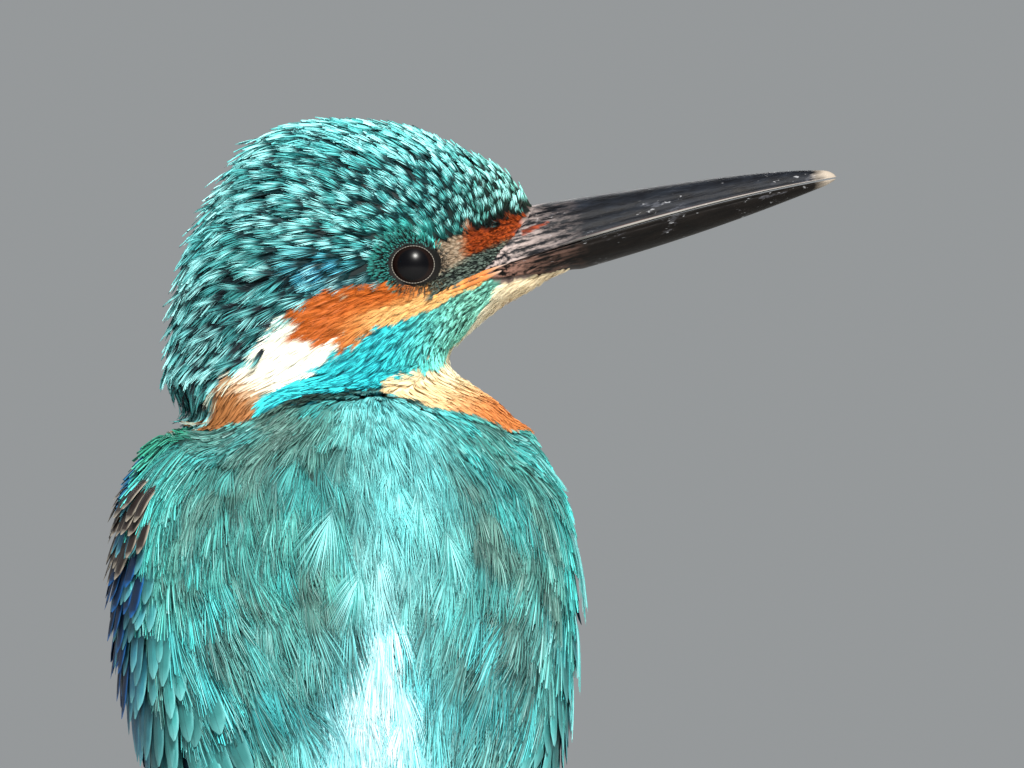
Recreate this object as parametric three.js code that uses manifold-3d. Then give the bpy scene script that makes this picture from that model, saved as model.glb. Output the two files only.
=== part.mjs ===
// A common kingfisher, life size, perched upright on a short cut branch that a plain display stand
// holds up. Millimetres, +Z up. The origin is the middle of the stand's underside. The head looks
// along +X, and the body faces away from -Y, turned BODY_YAW degrees to the left, so that the bird's
// back shows from -Y.
import * as THREE from "three";
import { ParametricGeometry } from "three/addons/geometries/ParametricGeometry.js";
import { mergeVertices } from "three/addons/utils/BufferGeometryUtils.js";
import Module from "manifold-3d";

const wasm = await Module();
wasm.setup();
const { degToRad, lerp } = THREE.MathUtils;
const UP = new THREE.Vector3(0, 0, 1);

// ---- Driving dimensions -----------------------------------------------------------------------------
// The bird is measured in its body's own frame: +Y is its front, +X its right, and z = 0 the top of
// its perch.
const GAP = 0.3; // between two pieces that meet
const BODY_YAW = 13; // degrees that the body is turned from +Y towards -X
const PERCH_TOP = 66; // how high the top of the perch is above the ground
const HEAD_PLANE = 5; // y of the head's plane of symmetry, in the head's frame, where +X is its front
const HEAD_BROADEST = -3; // x at which the head is broadest, over the ears
const TRUNK_BROADEST = 4; // y at which the trunk is broadest
const TRUNK_BLUNT = 2.15; // a little squarer than an ellipse

const EYE = { radius: 3.5, x: 7.6, height: 76.1, depth: 2.3 };
const PERCH = { radius: 7, length: 92, y: 5, bend: 1.6 };
const ROD = { radius: 2.5, intoBase: 5, intoPerch: 5 };
const BASE = { radius: 48, height: 9, bevel: 2.4, chamfer: 0.6 };

// ---- Solids -----------------------------------------------------------------------------------------
// A closed geometry as a manifold-3d solid with its faces out, whichever way they were wound.
function solid(geometry) {
  const bare = geometry.clone();
  bare.deleteAttribute("normal");
  bare.deleteAttribute("uv");
  const merged = mergeVertices(bare, 1e-3);
  const corners = merged.index.array;
  const faces = [];
  for (let i = 0; i < corners.length; i += 3) {
    const [a, b, c] = corners.slice(i, i + 3);
    if (a !== b && b !== c && a !== c) faces.push(a, b, c);
  }
  const facing = (list) =>
    new wasm.Manifold(
      new wasm.Mesh({
        numProp: 3,
        vertProperties: merged.attributes.position.array,
        triVerts: new Uint32Array(list),
      }),
    );
  const made = facing(faces);
  return made.volume() < 0 ? facing(faces.reverse()) : made;
}

// A manifold-3d solid as a geometry that three.js can draw.
function drawn(shape) {
  const { numProp, numVert, vertProperties, triVerts } = shape.getMesh();
  const points = new Float32Array(numVert * 3);
  for (let i = 0; i < numVert; i++) {
    points.set(vertProperties.subarray(i * numProp, i * numProp + 3), i * 3);
  }
  const geometry = new THREE.BufferGeometry();
  geometry.setAttribute("position", new THREE.BufferAttribute(points, 3));
  geometry.setIndex(new THREE.BufferAttribute(triVerts, 1));
  geometry.computeVertexNormals();
  return geometry;
}

// Count values of a function whose argument runs from 0 to 1, both included.
const along = (count, make) => Array.from({ length: count }, (_, i) => make(i / (count - 1), i));

// A closed loop of count points from a function of the angle.
const loop = (count, pointAt) =>
  Array.from({ length: count }, (_, i) => pointAt((i / count) * 2 * Math.PI));

// A solid through a row of closed loops, each with as many points. Its ends close in a fan round their
// middle; the ends of a thin plate, whose loops go out over it and back under it, close along their
// middle line.
function loft(loops, thin = false) {
  const around = loops[0].length;
  const middle = (points) =>
    points.reduce((sum, p) => sum.add(p), new THREE.Vector3()).divideScalar(around);
  const end = (points) => {
    const centre = middle(points);
    return points.map((point, i) => (thin ? point.clone().lerp(points[around - 1 - i], 0.5) : centre));
  };
  const closed = [end(loops[0]), ...loops, end(loops.at(-1))];
  const rows = closed.length - 1;
  const place = (u, v, target) =>
    target.copy(closed[Math.round(v * rows)][Math.round(u * around) % around]);
  return solid(new ParametricGeometry(place, around, rows));
}

// A thin plate of rows by across points from a function of how far down and across it a point is, and
// which side.
const plate = (rows, across, pointAt) =>
  loft(
    along(rows, (down, row) => [
      ...along(across, (t) => pointAt(down, t, false, row)),
      ...along(across, (t) => pointAt(down, 1 - t, true, row)),
    ]),
    true,
  );

// A tube with the given radius at each of its points.
function tube(points, radii, sides) {
  const curve = new THREE.CatmullRomCurve3(points);
  const width = new THREE.SplineCurve(along(radii.length, (t, i) => new THREE.Vector2(t, radii[i])));
  const steps = (points.length - 1) * 2;
  const { normals, binormals } = curve.computeFrenetFrames(steps, false);
  const ring = (t, i) => {
    const [centre, radius] = [curve.getPoint(t), width.getPoint(t).y];
    return loop(sides, (a) =>
      centre
        .clone()
        .addScaledVector(normals[i], radius * Math.cos(a))
        .addScaledVector(binormals[i], radius * Math.sin(a)),
    );
  };
  return loft(along(steps + 1, ring));
}

// Rows of numbers as a smooth function of each row's place: its number, or what placeOf makes of it.
function smoothRows(rows, placeOf = (_, i) => i) {
  const between = new THREE.CubicInterpolant(rows.map(placeOf), rows.flat(), rows[0].length);
  return (place) => Array.from(between.evaluate(place));
}

// A cosine or sine as a superellipse needs it: a power of 2 is round, less is pointed, more is square.
const shaped = (value, power) => Math.sign(value) * Math.abs(value) ** (2 / power);

// ---- Head, neck and trunk ---------------------------------------------------------------------------
// Each station is one level section: its height; how far it reaches to the right, left, back and
// front; where it is broadest, in x and y; how far it is turned; and how blunt its right side is,
// which on the head is the face.
const headStation = (height, face, nape, halfWidth, blunt) => [
  height, face, nape, HEAD_PLANE - halfWidth, HEAD_PLANE + halfWidth,
  HEAD_BROADEST, HEAD_PLANE, -BODY_YAW, blunt,
];
const trunkStation = (height, halfWidth, back, front) => [
  height, halfWidth, -halfWidth, back, front,
  0, Math.min(TRUNK_BROADEST, (back + front) / 2), 0, TRUNK_BLUNT,
];
const CROWN_TOP = [94, -1, -1, HEAD_PLANE, HEAD_PLANE, -1, HEAD_PLANE, -BODY_YAW, 2];
const CROWN = headStation(93.2, 6.8, -7.6, 5.2, 2);
const PARTING = headStation(91, 12, -11.2, 8.8, 2);
const BROW = headStation(87.6, 19.2, -14.4, 11.6, 1.8);
const FOREHEAD = headStation(83.6, 22.3, -16.6, 12.9, 1.6);
const LORES = headStation(79.4, 21, -19.1, 13.5, 1.5);
const CHIN = headStation(75.2, 26, -20.3, 14, 1.25);
const JAW = headStation(71.6, 19.3, -21, 14.3, 1.5);
const THROAT = headStation(67.4, 14, -21.8, 13.9, 1.8);
const COLLAR = headStation(64.2, 11.5, -22.1, 13.4, 2);
const NECK = [62, 14.4, -22.1, -9.6, 20.2, -2, 5, 2 - BODY_YAW, 2];
const MANTLE_TOP = [59.8, 18, -20.4, -13.4, 21.6, -1, 4.8, 5 - BODY_YAW, 2];
const NAPE_FOOT = [57.4, 20.8, -18, -16, 23.2, 0, 4.4, 9 - BODY_YAW, 2.05];
const SHOULDER = trunkStation(53.6, 21.4, -18.4, 25);
const BREAST = trunkStation(46, 24.4, -21.4, 28.2);
const MIDDLE = trunkStation(36, 25.4, -23.2, 30.6);
const BELLY = trunkStation(24, 24.6, -24.2, 29.4);
const FLANK = trunkStation(14, 21.6, -24.8, 24);
const THIGH = trunkStation(8, 18.6, -25.2, 15.5);
const VENT = trunkStation(4.4, 15.2, -25.6, 2);
const RUMP = trunkStation(-2, 12.6, -26.2, -5.5);
const UNDERTAIL = trunkStation(-10, 10.2, -27.4, -13);
const COVERTS_END = trunkStation(-18, 7.2, -28.4, -20.5);
const TRUNK_END = trunkStation(-21.5, 0, -26, -26);

const STATIONS = [
  CROWN_TOP, CROWN, PARTING, BROW, FOREHEAD, LORES, CHIN, JAW, THROAT, COLLAR, NECK, MANTLE_TOP, NAPE_FOOT,
  SHOULDER, BREAST, MIDDLE, BELLY, FLANK, THIGH, VENT, RUMP, UNDERTAIL, COVERTS_END, TRUNK_END,
];
const stationAt = smoothRows(STATIONS);
const ROUND = 28; // points round each section
const BETWEEN = 2; // sections to a station

// The section at a place along STATIONS, grown by extra, lowered by drop, and seen in a frame turned
// by yaw.
function section(place, extra, drop, frameYaw) {
  const [height, right, left, back, front, cx, cy, yaw, blunt] = stationAt(place);
  return loop(ROUND, (a) => {
    const [c, s] = [Math.cos(a), Math.sin(a)];
    const power = c > 0 ? blunt : Math.max(blunt, 2);
    const x = cx + shaped(c, power) * ((c > 0 ? right - cx : cx - left) + extra);
    const y = cy + shaped(s, power) * ((s > 0 ? front - cy : cy - back) + extra);
    return new THREE.Vector3(x, y, height - drop).applyAxisAngle(UP, degToRad(yaw - frameYaw));
  });
}

// The stretch of the bird between two stations, a gap below the one above it.
function stretch(from, to, { extra = 0, frameYaw = 0 } = {}) {
  const [first, last] = [STATIONS.indexOf(from), STATIONS.indexOf(to)];
  const places = along((last - first) * BETWEEN + 1, (t) => lerp(first, last, t));
  // The ends close in a fan.
  const open = places.filter((place) => place > 0 && place < STATIONS.length - 1);
  return loft(open.map((place) => section(place, extra, place === first ? GAP : 0, frameYaw)));
}

// ---- Bill -------------------------------------------------------------------------------------------
// Each row is x in the head's frame, the heights of the mouth's line, the ridge and the keel, and half
// the width.
const BILL_ROWS = [
  [14, 74.6, 82.2, 71.9, 4.5],
  [22.5, 77.4, 83.6, 74.1, 4.25],
  [34, 80.9, 85.3, 77.4, 3.25],
  [46, 84.1, 87, 81.3, 2.2],
  [55, 86.1, 87.75, 84.7, 1.15],
  [59.3, 86.9, 87.7, 86.4, 0.5],
];
const billAt = smoothRows(BILL_ROWS);
const BILL_LOOPS = 16;
const BILL_ROUND = 16;
const RIDGE_POWER = 1.75; // under 2, so that the bill narrows to a ridge and a keel

// The whole bill, grown by extra; or, when side is 1 or -1, its half above or below the mouth's line.
function bill(side, extra = 0) {
  const arc = side ? BILL_ROUND / 2 + 1 : BILL_ROUND;
  const ring = (t) => {
    const [x, mouth, ridge, keel, half] = billAt(t * (BILL_ROWS.length - 1));
    return Array.from({ length: arc }, (_, k) => {
      const a = (k / BILL_ROUND) * 2 * Math.PI * (side || 1);
      const [across, up] = [shaped(Math.cos(a), RIDGE_POWER), shaped(Math.sin(a), RIDGE_POWER)];
      const rise = up * ((up > 0 ? ridge - mouth : mouth - keel) + extra);
      const clear = side ? side * Math.max(GAP / 2, side * rise) : rise;
      return new THREE.Vector3(x, HEAD_PLANE + across * (half + extra), mouth + clear);
    });
  };
  return loft(along(BILL_LOOPS, ring));
}

// ---- Eyes -------------------------------------------------------------------------------------------
// The middle of the eye on one side, EYE.depth inside the surface of the head.
function eyeCentre(side) {
  const place = STATIONS.indexOf(LORES) + (LORES[0] - EYE.height) / (LORES[0] - CHIN[0]);
  const [, face, , back, , cx, cy, , blunt] = stationAt(place);
  const forward = (EYE.x - cx) / (face - cx);
  const surface = (cy - back) * (1 - forward ** blunt) ** (1 / blunt);
  return new THREE.Vector3(EYE.x, HEAD_PLANE + side * (surface - EYE.depth), EYE.height);
}
const ball = (radius, around, rows) => solid(new THREE.SphereGeometry(radius, around, rows));
const eyeball = (extra = 0) => ball(EYE.radius + extra, 16, 10);

// ---- Wings ------------------------------------------------------------------------------------------
// Each row is a level section of the folded wing: its height, the angles of its edge by the spine and
// of its leading edge, counted from the middle of the back, and the half-width and the back of the
// oval that its outside lies on.
const WING_ROWS = [
  [56.8, 72, 90, 20.4, -17],
  [50, 47, 120, 26.6, -22.2],
  [40, 38, 123, 28.6, -25],
  [28, 31.5, 112, 28.1, -26.7],
  [14, 24.5, 98, 25.2, -27.8],
  [0, 18.5, 84, 20.2, -29.3],
  [-12, 24, 69, 14.9, -31.4],
  [-21.5, 46, 58, 11.2, -33.4],
];
const wingAt = smoothRows(WING_ROWS, ([height]) => -height);
const WING = {
  top: WING_ROWS[0][0], tip: WING_ROWS.at(-1)[0],
  across: 9, // points over its outside
  thick: 3.2, thin: 1.5, edge: 0.8, // at the shoulder, at the tip and along both edges
  sunkEdge: 0.8, // how far its edges lie below the oval at the shoulder
  clear: GAP + 0.45, // over the trunk, whose flat faces stand out between its sections
  frontRoom: 2, // how much deeper than the trunk the oval is in front
};
// The coverts end in a row of rounded tips, and the quills run on from under them.
const COVERTS = { end: 20, slant: 9, tips: 5, round: 2.4, over: 1.1, rows: 10 };
// The quills' tips lie one below another at the spine.
const QUILLS = { rows: 15, steppedFrom: 6, step: 6, slant: 4.5 };

// The trunk's section at a height: its middle, and how far from there an ellipse-like loop reaches at
// an angle.
function trunkAt(height) {
  let [above, below] = [STATIONS.indexOf(NECK), STATIONS.length - 1];
  while (below - above > 1e-5) {
    const place = (above + below) / 2;
    if (stationAt(place)[0] > height) above = place;
    else below = place;
  }
  const [, right, , back, front, , middle, yaw, blunt] = stationAt(above);
  const reach = (a, half, depth, power) =>
    ((Math.abs(Math.sin(a)) / half) ** power + (Math.abs(Math.cos(a)) / depth) ** power) ** (-1 / power);
  const behind = (a) => Math.cos(a) > 0;
  const smallest = 0.1;
  return {
    middle,
    yaw,
    skin: (a) =>
      reach(
        a,
        Math.max(right, smallest),
        Math.max(behind(a) ? middle - back : front - middle, smallest),
        blunt,
      ),
    oval: (a, half, ovalBack) =>
      reach(a, half, behind(a) ? middle - ovalBack : front - middle + WING.frontRoom, 2),
  };
}

// A plate of the wing between the heights top(t) and bottom(t) at t across it, sunk into the wing by a
// depth.
function wingPlate(side, rows, top, bottom, sunk, stepFrom = Infinity) {
  return plate(rows, WING.across, (down, t, under, row) => {
    const height = lerp(top(t), bottom(t), down);
    const [, inner, outer, half, back] = wingAt(-height);
    const step = row > stepFrom && row % 2 ? QUILLS.step : 0;
    const a = degToRad(lerp(inner - step, outer, t));
    const trunk = trunkAt(height);
    const share = (WING.top - height) / (WING.top - WING.tip);
    const edge = Math.abs(2 * t - 1) ** 4;
    const thick = Math.max(WING.edge, lerp(WING.thick, WING.thin, share) * (1 - 0.6 * edge));
    const oval = trunk.oval(a, half, back) - WING.sunkEdge * edge * (1 - share);
    const inside = Math.max(oval - thick, trunk.skin(a) + WING.clear);
    const r = under ? inside : Math.max(oval - sunk, inside + WING.edge);
    const point = new THREE.Vector3(side * r * Math.sin(a), trunk.middle - r * Math.cos(a), height);
    return point.applyAxisAngle(UP, degToRad(trunk.yaw));
  });
}
const covertsEnd = (t) =>
  COVERTS.end - COVERTS.slant * t - COVERTS.round * Math.abs(Math.sin(Math.PI * COVERTS.tips * t)) ** 0.8;
const quillsEnd = (t) => WING.tip + QUILLS.slant * (1 - t) ** 2;
const wingCoverts = (side) => wingPlate(side, COVERTS.rows, () => WING.top, covertsEnd, 0);
const wingQuills = (side) =>
  wingPlate(side, QUILLS.rows, (t) => covertsEnd(t) - GAP, quillsEnd, COVERTS.over, QUILLS.steppedFrom);

// ---- Tail -------------------------------------------------------------------------------------------
const TAIL = {
  top: -13, tip: -38,
  topY: -26.4, tipY: -33, // where its sides lie
  halfTop: 8.2, halfTip: 11.8,
  thick: 1.5,
  arch: 1.6, // how far its middle stands behind its sides
  feathers: 12, notch: 0.9, // between their tips
  rounding: 1.8, // how much shorter its outer feathers are
  across: 25, rows: 4,
};
const tail = () =>
  plate(TAIL.rows, TAIL.across, (down, t, under) => {
    const out = 2 * t - 1;
    const notch = TAIL.notch * Math.cos(Math.PI * TAIL.feathers * t) ** 2;
    const tip = TAIL.tip + TAIL.rounding * out * out + notch;
    const y = lerp(TAIL.topY, TAIL.tipY, down) - TAIL.arch * (1 - out * out);
    const half = lerp(TAIL.halfTop, TAIL.halfTip, down);
    const side = ((under ? 1 : -1) * TAIL.thick) / 2;
    return new THREE.Vector3(half * out, y + side, lerp(TAIL.top, tip, down));
  });

// ---- Legs, toes and claws ---------------------------------------------------------------------------
const FOOT = { x: 7.4, toe: 1.05, ankle: 2.1, joint: 1.5 };
const LEG = { radius: 1.2, top: 10, topX: 6.6, topY: 2 };
// For each toe: how far it spreads along the perch, how many degrees it reaches round it, and its
// girth.
const TOES = {
  inner: { spread: -2.6, reach: 46, girth: 0.85 },
  middle: { spread: 0.1, reach: 84, girth: 1 },
  outer: { spread: 2.5, reach: 72, girth: 0.95 },
  hind: { spread: -0.6, reach: -58, girth: 0.95 },
};
const CLAW = { radius: 0.72, tip: 0.14, curl: 32, after: 3.2, arch: 0.3, dip: 0.5 };

// A point near the perch: along it by x, round it by degrees from its top, and out from its surface.
function roundPerch(x, turn, out) {
  const [a, r] = [degToRad(turn), PERCH.radius + out];
  return new THREE.Vector3(x, PERCH.y + r * Math.sin(a), r * Math.cos(a) - PERCH.radius);
}
function toe(side, { spread, reach, girth }) {
  const radius = FOOT.toe * girth;
  const points = along(4, (t) => {
    const x = side * (FOOT.x + spread * Math.min(1, 1.3 * t));
    return roundPerch(x, reach * t, GAP + radius * (1.35 - 0.35 * t));
  });
  const knuckles = [1.25, 1.02, 1.08, 0.88].map((share) => share * radius);
  return tube(points, knuckles, 6);
}
function claw(side, { spread, reach, girth }) {
  const way = Math.sign(reach);
  const points = along(3, (t) => {
    const turn = reach + way * (CLAW.after + CLAW.curl * t);
    const out = GAP + FOOT.toe + CLAW.arch * Math.sin(Math.PI * t) - CLAW.dip * t;
    return roundPerch(side * (FOOT.x + spread), turn, out);
  });
  const radius = CLAW.radius * girth;
  return tube(points, [radius, (2 * radius) / 3, CLAW.tip], 5);
}
function foot(side) {
  const joint = ball(FOOT.joint, 8, 5).translate(roundPerch(side * FOOT.x, 0, GAP + FOOT.ankle).toArray());
  return Object.values(TOES).reduce((shape, size) => shape.add(toe(side, size)), joint);
}
function leg(side) {
  const ankle = roundPerch(side * FOOT.x, 0, 2 * GAP + FOOT.ankle + FOOT.joint);
  const top = new THREE.Vector3(side * LEG.topX, LEG.topY, LEG.top);
  return tube([ankle, top], [LEG.radius, 1.2 * LEG.radius], 10);
}

// ---- Perch and stand --------------------------------------------------------------------------------
const BARK = {
  plain: 0.45, ridge: 0.9, taper: 0.5, knot: 1.1, knotAt: 0.72, knotWide: 0.07, knotTurn: 0.9,
};
function perch() {
  const ring = (share) => {
    const t = 2 * share - 1;
    const end = Math.max(0, Math.abs(t) - BARK.plain); // plain and straight where the feet hold it
    const knot = BARK.knot * Math.exp(-(((t - BARK.knotAt) / BARK.knotWide) ** 2));
    return loop(15, (a) => {
      const ridges = BARK.ridge * end * Math.sin(3 * a + 5 * t);
      const bumps = ridges + knot * Math.max(0, Math.cos(a - BARK.knotTurn));
      const r = PERCH.radius + bumps - BARK.taper * end * Math.sign(t);
      const middle = -PERCH.radius - PERCH.bend * end * end;
      return new THREE.Vector3((t * PERCH.length) / 2, PERCH.y + r * Math.cos(a), middle + r * Math.sin(a));
    });
  };
  return loft(along(14, ring));
}

// A level disc or rod as a solid whose axis is upright, from one height to another.
const upright = (radius, from, to) =>
  solid(new THREE.CylinderGeometry(radius, radius, to - from, 24).rotateX(Math.PI / 2)).translate([
    0, 0, (from + to) / 2,
  ]);
const rodFrom = BASE.height - ROD.intoBase;
const rodTo = PERCH_TOP - 2 * PERCH.radius + ROD.intoPerch;
const rodSpace = upright(ROD.radius + GAP, rodFrom - GAP, rodTo + GAP).translate([0, PERCH.y, 0]);

function base() {
  const { radius, height, bevel, chamfer } = BASE;
  const outline = [
    [0, 0], [radius - chamfer, 0], [radius, chamfer], [radius, height - bevel],
    [radius - bevel * 0.6, height - bevel * 0.25], [radius - bevel, height], [0, height],
  ].map(([r, z]) => new THREE.Vector2(r, z));
  return solid(new THREE.LatheGeometry(outline, 32).rotateX(Math.PI / 2));
}

// ---- The whole --------------------------------------------------------------------------------------
const FINISHES = {
  plumage: { color: 0x1f8f8c, roughness: 0.75 },
  wing: { color: 0x1b6f86, roughness: 0.6 },
  tail: { color: 0x1d4f86, roughness: 0.6 },
  bill: { color: 0x17181c, roughness: 0.35 },
  eye: { color: 0x120a08, roughness: 0.05 },
  skin: { color: 0xc8501c, roughness: 0.5 },
  claw: { color: 0x1a1512, roughness: 0.4 },
  bark: { color: 0x6b5644, roughness: 0.9 },
  wood: { color: 0x4a2f1e, roughness: 0.45 },
  steel: { color: 0x8d8f92, roughness: 0.3, metalness: 1 },
};
const SIDES = { left: -1, right: 1 }; // of the body, whose front is +Y
const EYES = { left: 1, right: -1 }; // of the head, whose front is +X

function add(group, name, shape, finish) {
  const mesh = new THREE.Mesh(drawn(shape), new THREE.MeshStandardMaterial(FINISHES[finish]));
  mesh.name = name;
  group.add(mesh);
  return mesh;
}

// The head, in its own frame.
function headGroup() {
  const group = new THREE.Group();
  group.rotation.z = -degToRad(BODY_YAW);
  let skull = stretch(CROWN_TOP, COLLAR, { frameYaw: -BODY_YAW }).subtract(bill(0, GAP));
  for (const [name, side] of Object.entries(EYES)) {
    const centre = eyeCentre(side);
    skull = skull.subtract(eyeball(GAP).translate(centre.toArray()));
    add(group, `eye_${name}`, eyeball(), "eye").position.copy(centre);
  }
  add(group, "head", skull, "plumage");
  add(group, "bill_upper", bill(1), "bill");
  add(group, "bill_lower", bill(-1), "bill");
  return group;
}

// The bird and its perch, in the body's frame.
function birdGroup() {
  const group = new THREE.Group();
  group.position.z = PERCH_TOP;
  group.rotation.z = degToRad(BODY_YAW);
  group.add(headGroup());
  const trunkSpace = stretch(NAPE_FOOT, TRUNK_END, { extra: GAP });
  add(group, "neck", stretch(COLLAR, NAPE_FOOT), "plumage");
  add(group, "trunk", stretch(NAPE_FOOT, TRUNK_END), "plumage");
  add(group, "tail", tail().subtract(trunkSpace), "tail");
  for (const [name, side] of Object.entries(SIDES)) {
    add(group, `wing_coverts_${name}`, wingCoverts(side), "wing");
    add(group, `wing_quills_${name}`, wingQuills(side), "wing");
    add(group, `leg_${name}`, leg(side).subtract(trunkSpace), "skin");
    add(group, `foot_${name}`, foot(side), "skin");
    for (const [which, size] of Object.entries(TOES)) {
      add(group, `claw_${name}_${which}`, claw(side, size), "claw");
    }
  }
  add(group, "perch", perch().subtract(rodSpace.translate([0, 0, -PERCH_TOP])), "bark");
  return group;
}

// The stand, whose rod is under the middle of the perch.
function standGroup() {
  const group = new THREE.Group();
  group.rotation.z = degToRad(BODY_YAW);
  add(group, "stand_rod", upright(ROD.radius, rodFrom, rodTo), "steel").position.y = PERCH.y;
  add(group, "stand_base", base().subtract(rodSpace), "wood");
  return group;
}

const kingfisher = new THREE.Group();
kingfisher.add(birdGroup(), standGroup());

export default kingfisher;
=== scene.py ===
"""A life-size common kingfisher on a short cut perch and a plain stand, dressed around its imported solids.

The bird's solids give its outline. One skin takes the place of the flesh, lies a coat's depth inside it, and
carries feathers made of barbs and vanes. The bill, eyes, feet and claws are finished pieces of their own.
Lengths are in millimetres until a mesh is made, and metres from then on.
"""
from __future__ import annotations

import logging
import math
from dataclasses import dataclass
from enum import Enum, IntEnum
from typing import Callable, Iterable, Sequence

import bmesh
import bpy
import numpy as np
from mathutils import Matrix, Vector, noise
from mathutils.bvhtree import BVHTree

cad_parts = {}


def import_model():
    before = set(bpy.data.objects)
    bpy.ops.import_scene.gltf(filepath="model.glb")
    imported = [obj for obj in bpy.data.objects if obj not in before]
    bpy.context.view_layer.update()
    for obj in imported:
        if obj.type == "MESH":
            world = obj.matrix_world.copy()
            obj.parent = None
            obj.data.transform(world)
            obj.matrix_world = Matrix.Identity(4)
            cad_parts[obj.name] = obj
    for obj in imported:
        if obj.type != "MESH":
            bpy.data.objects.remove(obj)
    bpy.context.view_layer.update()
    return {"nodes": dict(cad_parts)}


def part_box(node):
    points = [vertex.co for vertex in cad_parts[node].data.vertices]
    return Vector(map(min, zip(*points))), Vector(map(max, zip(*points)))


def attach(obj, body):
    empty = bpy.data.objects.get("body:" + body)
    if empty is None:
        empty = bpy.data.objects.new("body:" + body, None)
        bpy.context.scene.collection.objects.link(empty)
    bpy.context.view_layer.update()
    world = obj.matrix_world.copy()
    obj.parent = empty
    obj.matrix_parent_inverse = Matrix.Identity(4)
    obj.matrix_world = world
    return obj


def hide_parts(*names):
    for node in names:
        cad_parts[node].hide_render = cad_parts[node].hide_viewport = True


LOG = logging.getLogger("kingfisher")
MM = 0.001
BODY = "root"

BODY_YAW = math.radians(13)  # how far the body is turned to its left
PERCH_TOP = 66.0  # the height that the body's own frame counts from
HEAD_PLANE = 5.0  # y of the head's plane of symmetry
TRUNK_AXIS = 4.0  # y of the body's axis, in its own frame
BACK_RADIUS = 28.0  # how far from that axis rows of feathers start, before they settle on the coat

Array = np.ndarray
BMesh = bmesh.types.BMesh
Mesh = bpy.types.Mesh
Material = bpy.types.Material
Frame = dict[str, bpy.types.Object]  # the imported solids, by node
Rgb = tuple[float, float, float]


# ---- Small helpers
def mix(low: Array | float, high: Array | float, share: Array | float) -> Array:
    """The value a share of the way from low to high."""
    return low + (high - low) * share


def step(low: float, high: float, value: Array | float) -> Array:
    """A smooth rise from 0 at low to 1 at high, or a fall where high is the lower."""
    share = np.clip((value - low) / (high - low), 0, 1)
    return share * share * (3 - 2 * share)


def line(points: Sequence[tuple[float, float]], value: Array | float) -> Array:
    """The height at a value of a line through a few points, which come in rising order."""
    places, heights = zip(*points)
    return np.interp(value, places, heights)


def unit(vectors: Array) -> Array:
    """Vectors of length 1."""
    return vectors / np.maximum(np.linalg.norm(vectors, axis=-1, keepdims=True), 1e-9)


def ripple(place: Array, size: float, seed: int) -> Array:
    """Smooth variation from about 0 to 1.

    Args:
        place: The places.
        size: How large its features are.
        seed: Which variation.

    Returns:
        Its value at each place.
    """
    rng, waves = np.random.default_rng(seed), 5
    total = sum(np.sin(place @ unit(rng.normal(size=3)) * math.tau / size * rng.uniform(0.7, 1.5)
                       + rng.uniform(0, 6)) for _ in range(waves))
    return np.clip(0.5 + total / waves, 0, 1)


def linear(colour: Array) -> Array:
    """Linear light from display values of 0 to 255."""
    share = np.clip(np.asarray(colour, float) / 255, 0, 1)
    return np.where(share <= 0.04045, share / 12.92, ((share + 0.055) / 1.055) ** 2.4)


def rgba(colour: Rgb) -> tuple[float, float, float, float]:
    """A shader's colour from display values of 0 to 255."""
    return (*linear(np.array(colour)), 1.0)


def shade(share: Array | float, low: Array | Rgb, high: Array | Rgb) -> Array:
    """Display colours a share of the way from low to high, with one share for each place."""
    return mix(np.asarray(low, float), np.asarray(high, float), np.asarray(share)[..., None])


def turned(place: Array, angle: float) -> Array:
    """Places or directions turned round the upright axis."""
    c, s = math.cos(angle), math.sin(angle)
    x, y, z = place[..., 0], place[..., 1], place[..., 2]
    return np.stack([x * c - y * s, x * s + y * c, z], -1)


def to_body(place: Array) -> Array:
    """Places in the body's own frame, whose front is +Y and whose height 0 is the perch's top."""
    return turned(place, -BODY_YAW) - (0, 0, PERCH_TOP)


def from_body(place: Array) -> Array:
    """Places in the part's frame from the body's own."""
    return turned(place, BODY_YAW) + (0, 0, PERCH_TOP)


def girdle(place: Array) -> tuple[Array, Array, Array]:
    """Degrees round from the middle of the back to the right, height over the perch, and place across."""
    x, y, z = np.moveaxis(to_body(place), -1, 0)
    return np.degrees(np.arctan2(x, TRUNK_AXIS - y)), z, x


def box_mm(node: str) -> tuple[Array, Array]:
    """The lowest and highest corner of a node, in millimetres."""
    low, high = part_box(node)
    return np.array(low) / MM, np.array(high) / MM


# ---- Shading
class Value:
    """An output in a material's node tree that Python's operators work on."""

    def __init__(self, nodes: Nodes, socket: bpy.types.NodeSocket) -> None:
        """Wraps one output socket."""
        self.nodes, self.socket = nodes, socket

    def _math(self, operation: str, first: Value | float, second: Value | float) -> Value:
        """A Math node of two values."""
        return self.nodes.make("ShaderNodeMath", {"operation": operation}, {0: first, 1: second})

    def __add__(self, other: Value | float) -> Value:
        """Sum."""
        return self._math("ADD", self, other)

    def __sub__(self, other: Value | float) -> Value:
        """Difference."""
        return self._math("SUBTRACT", self, other)

    def __rsub__(self, other: float) -> Value:
        """Difference from a number."""
        return self._math("SUBTRACT", other, self)

    def __mul__(self, other: Value | float) -> Value:
        """Product."""
        return self._math("MULTIPLY", self, other)

    __radd__ = __add__
    __rmul__ = __mul__


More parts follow.
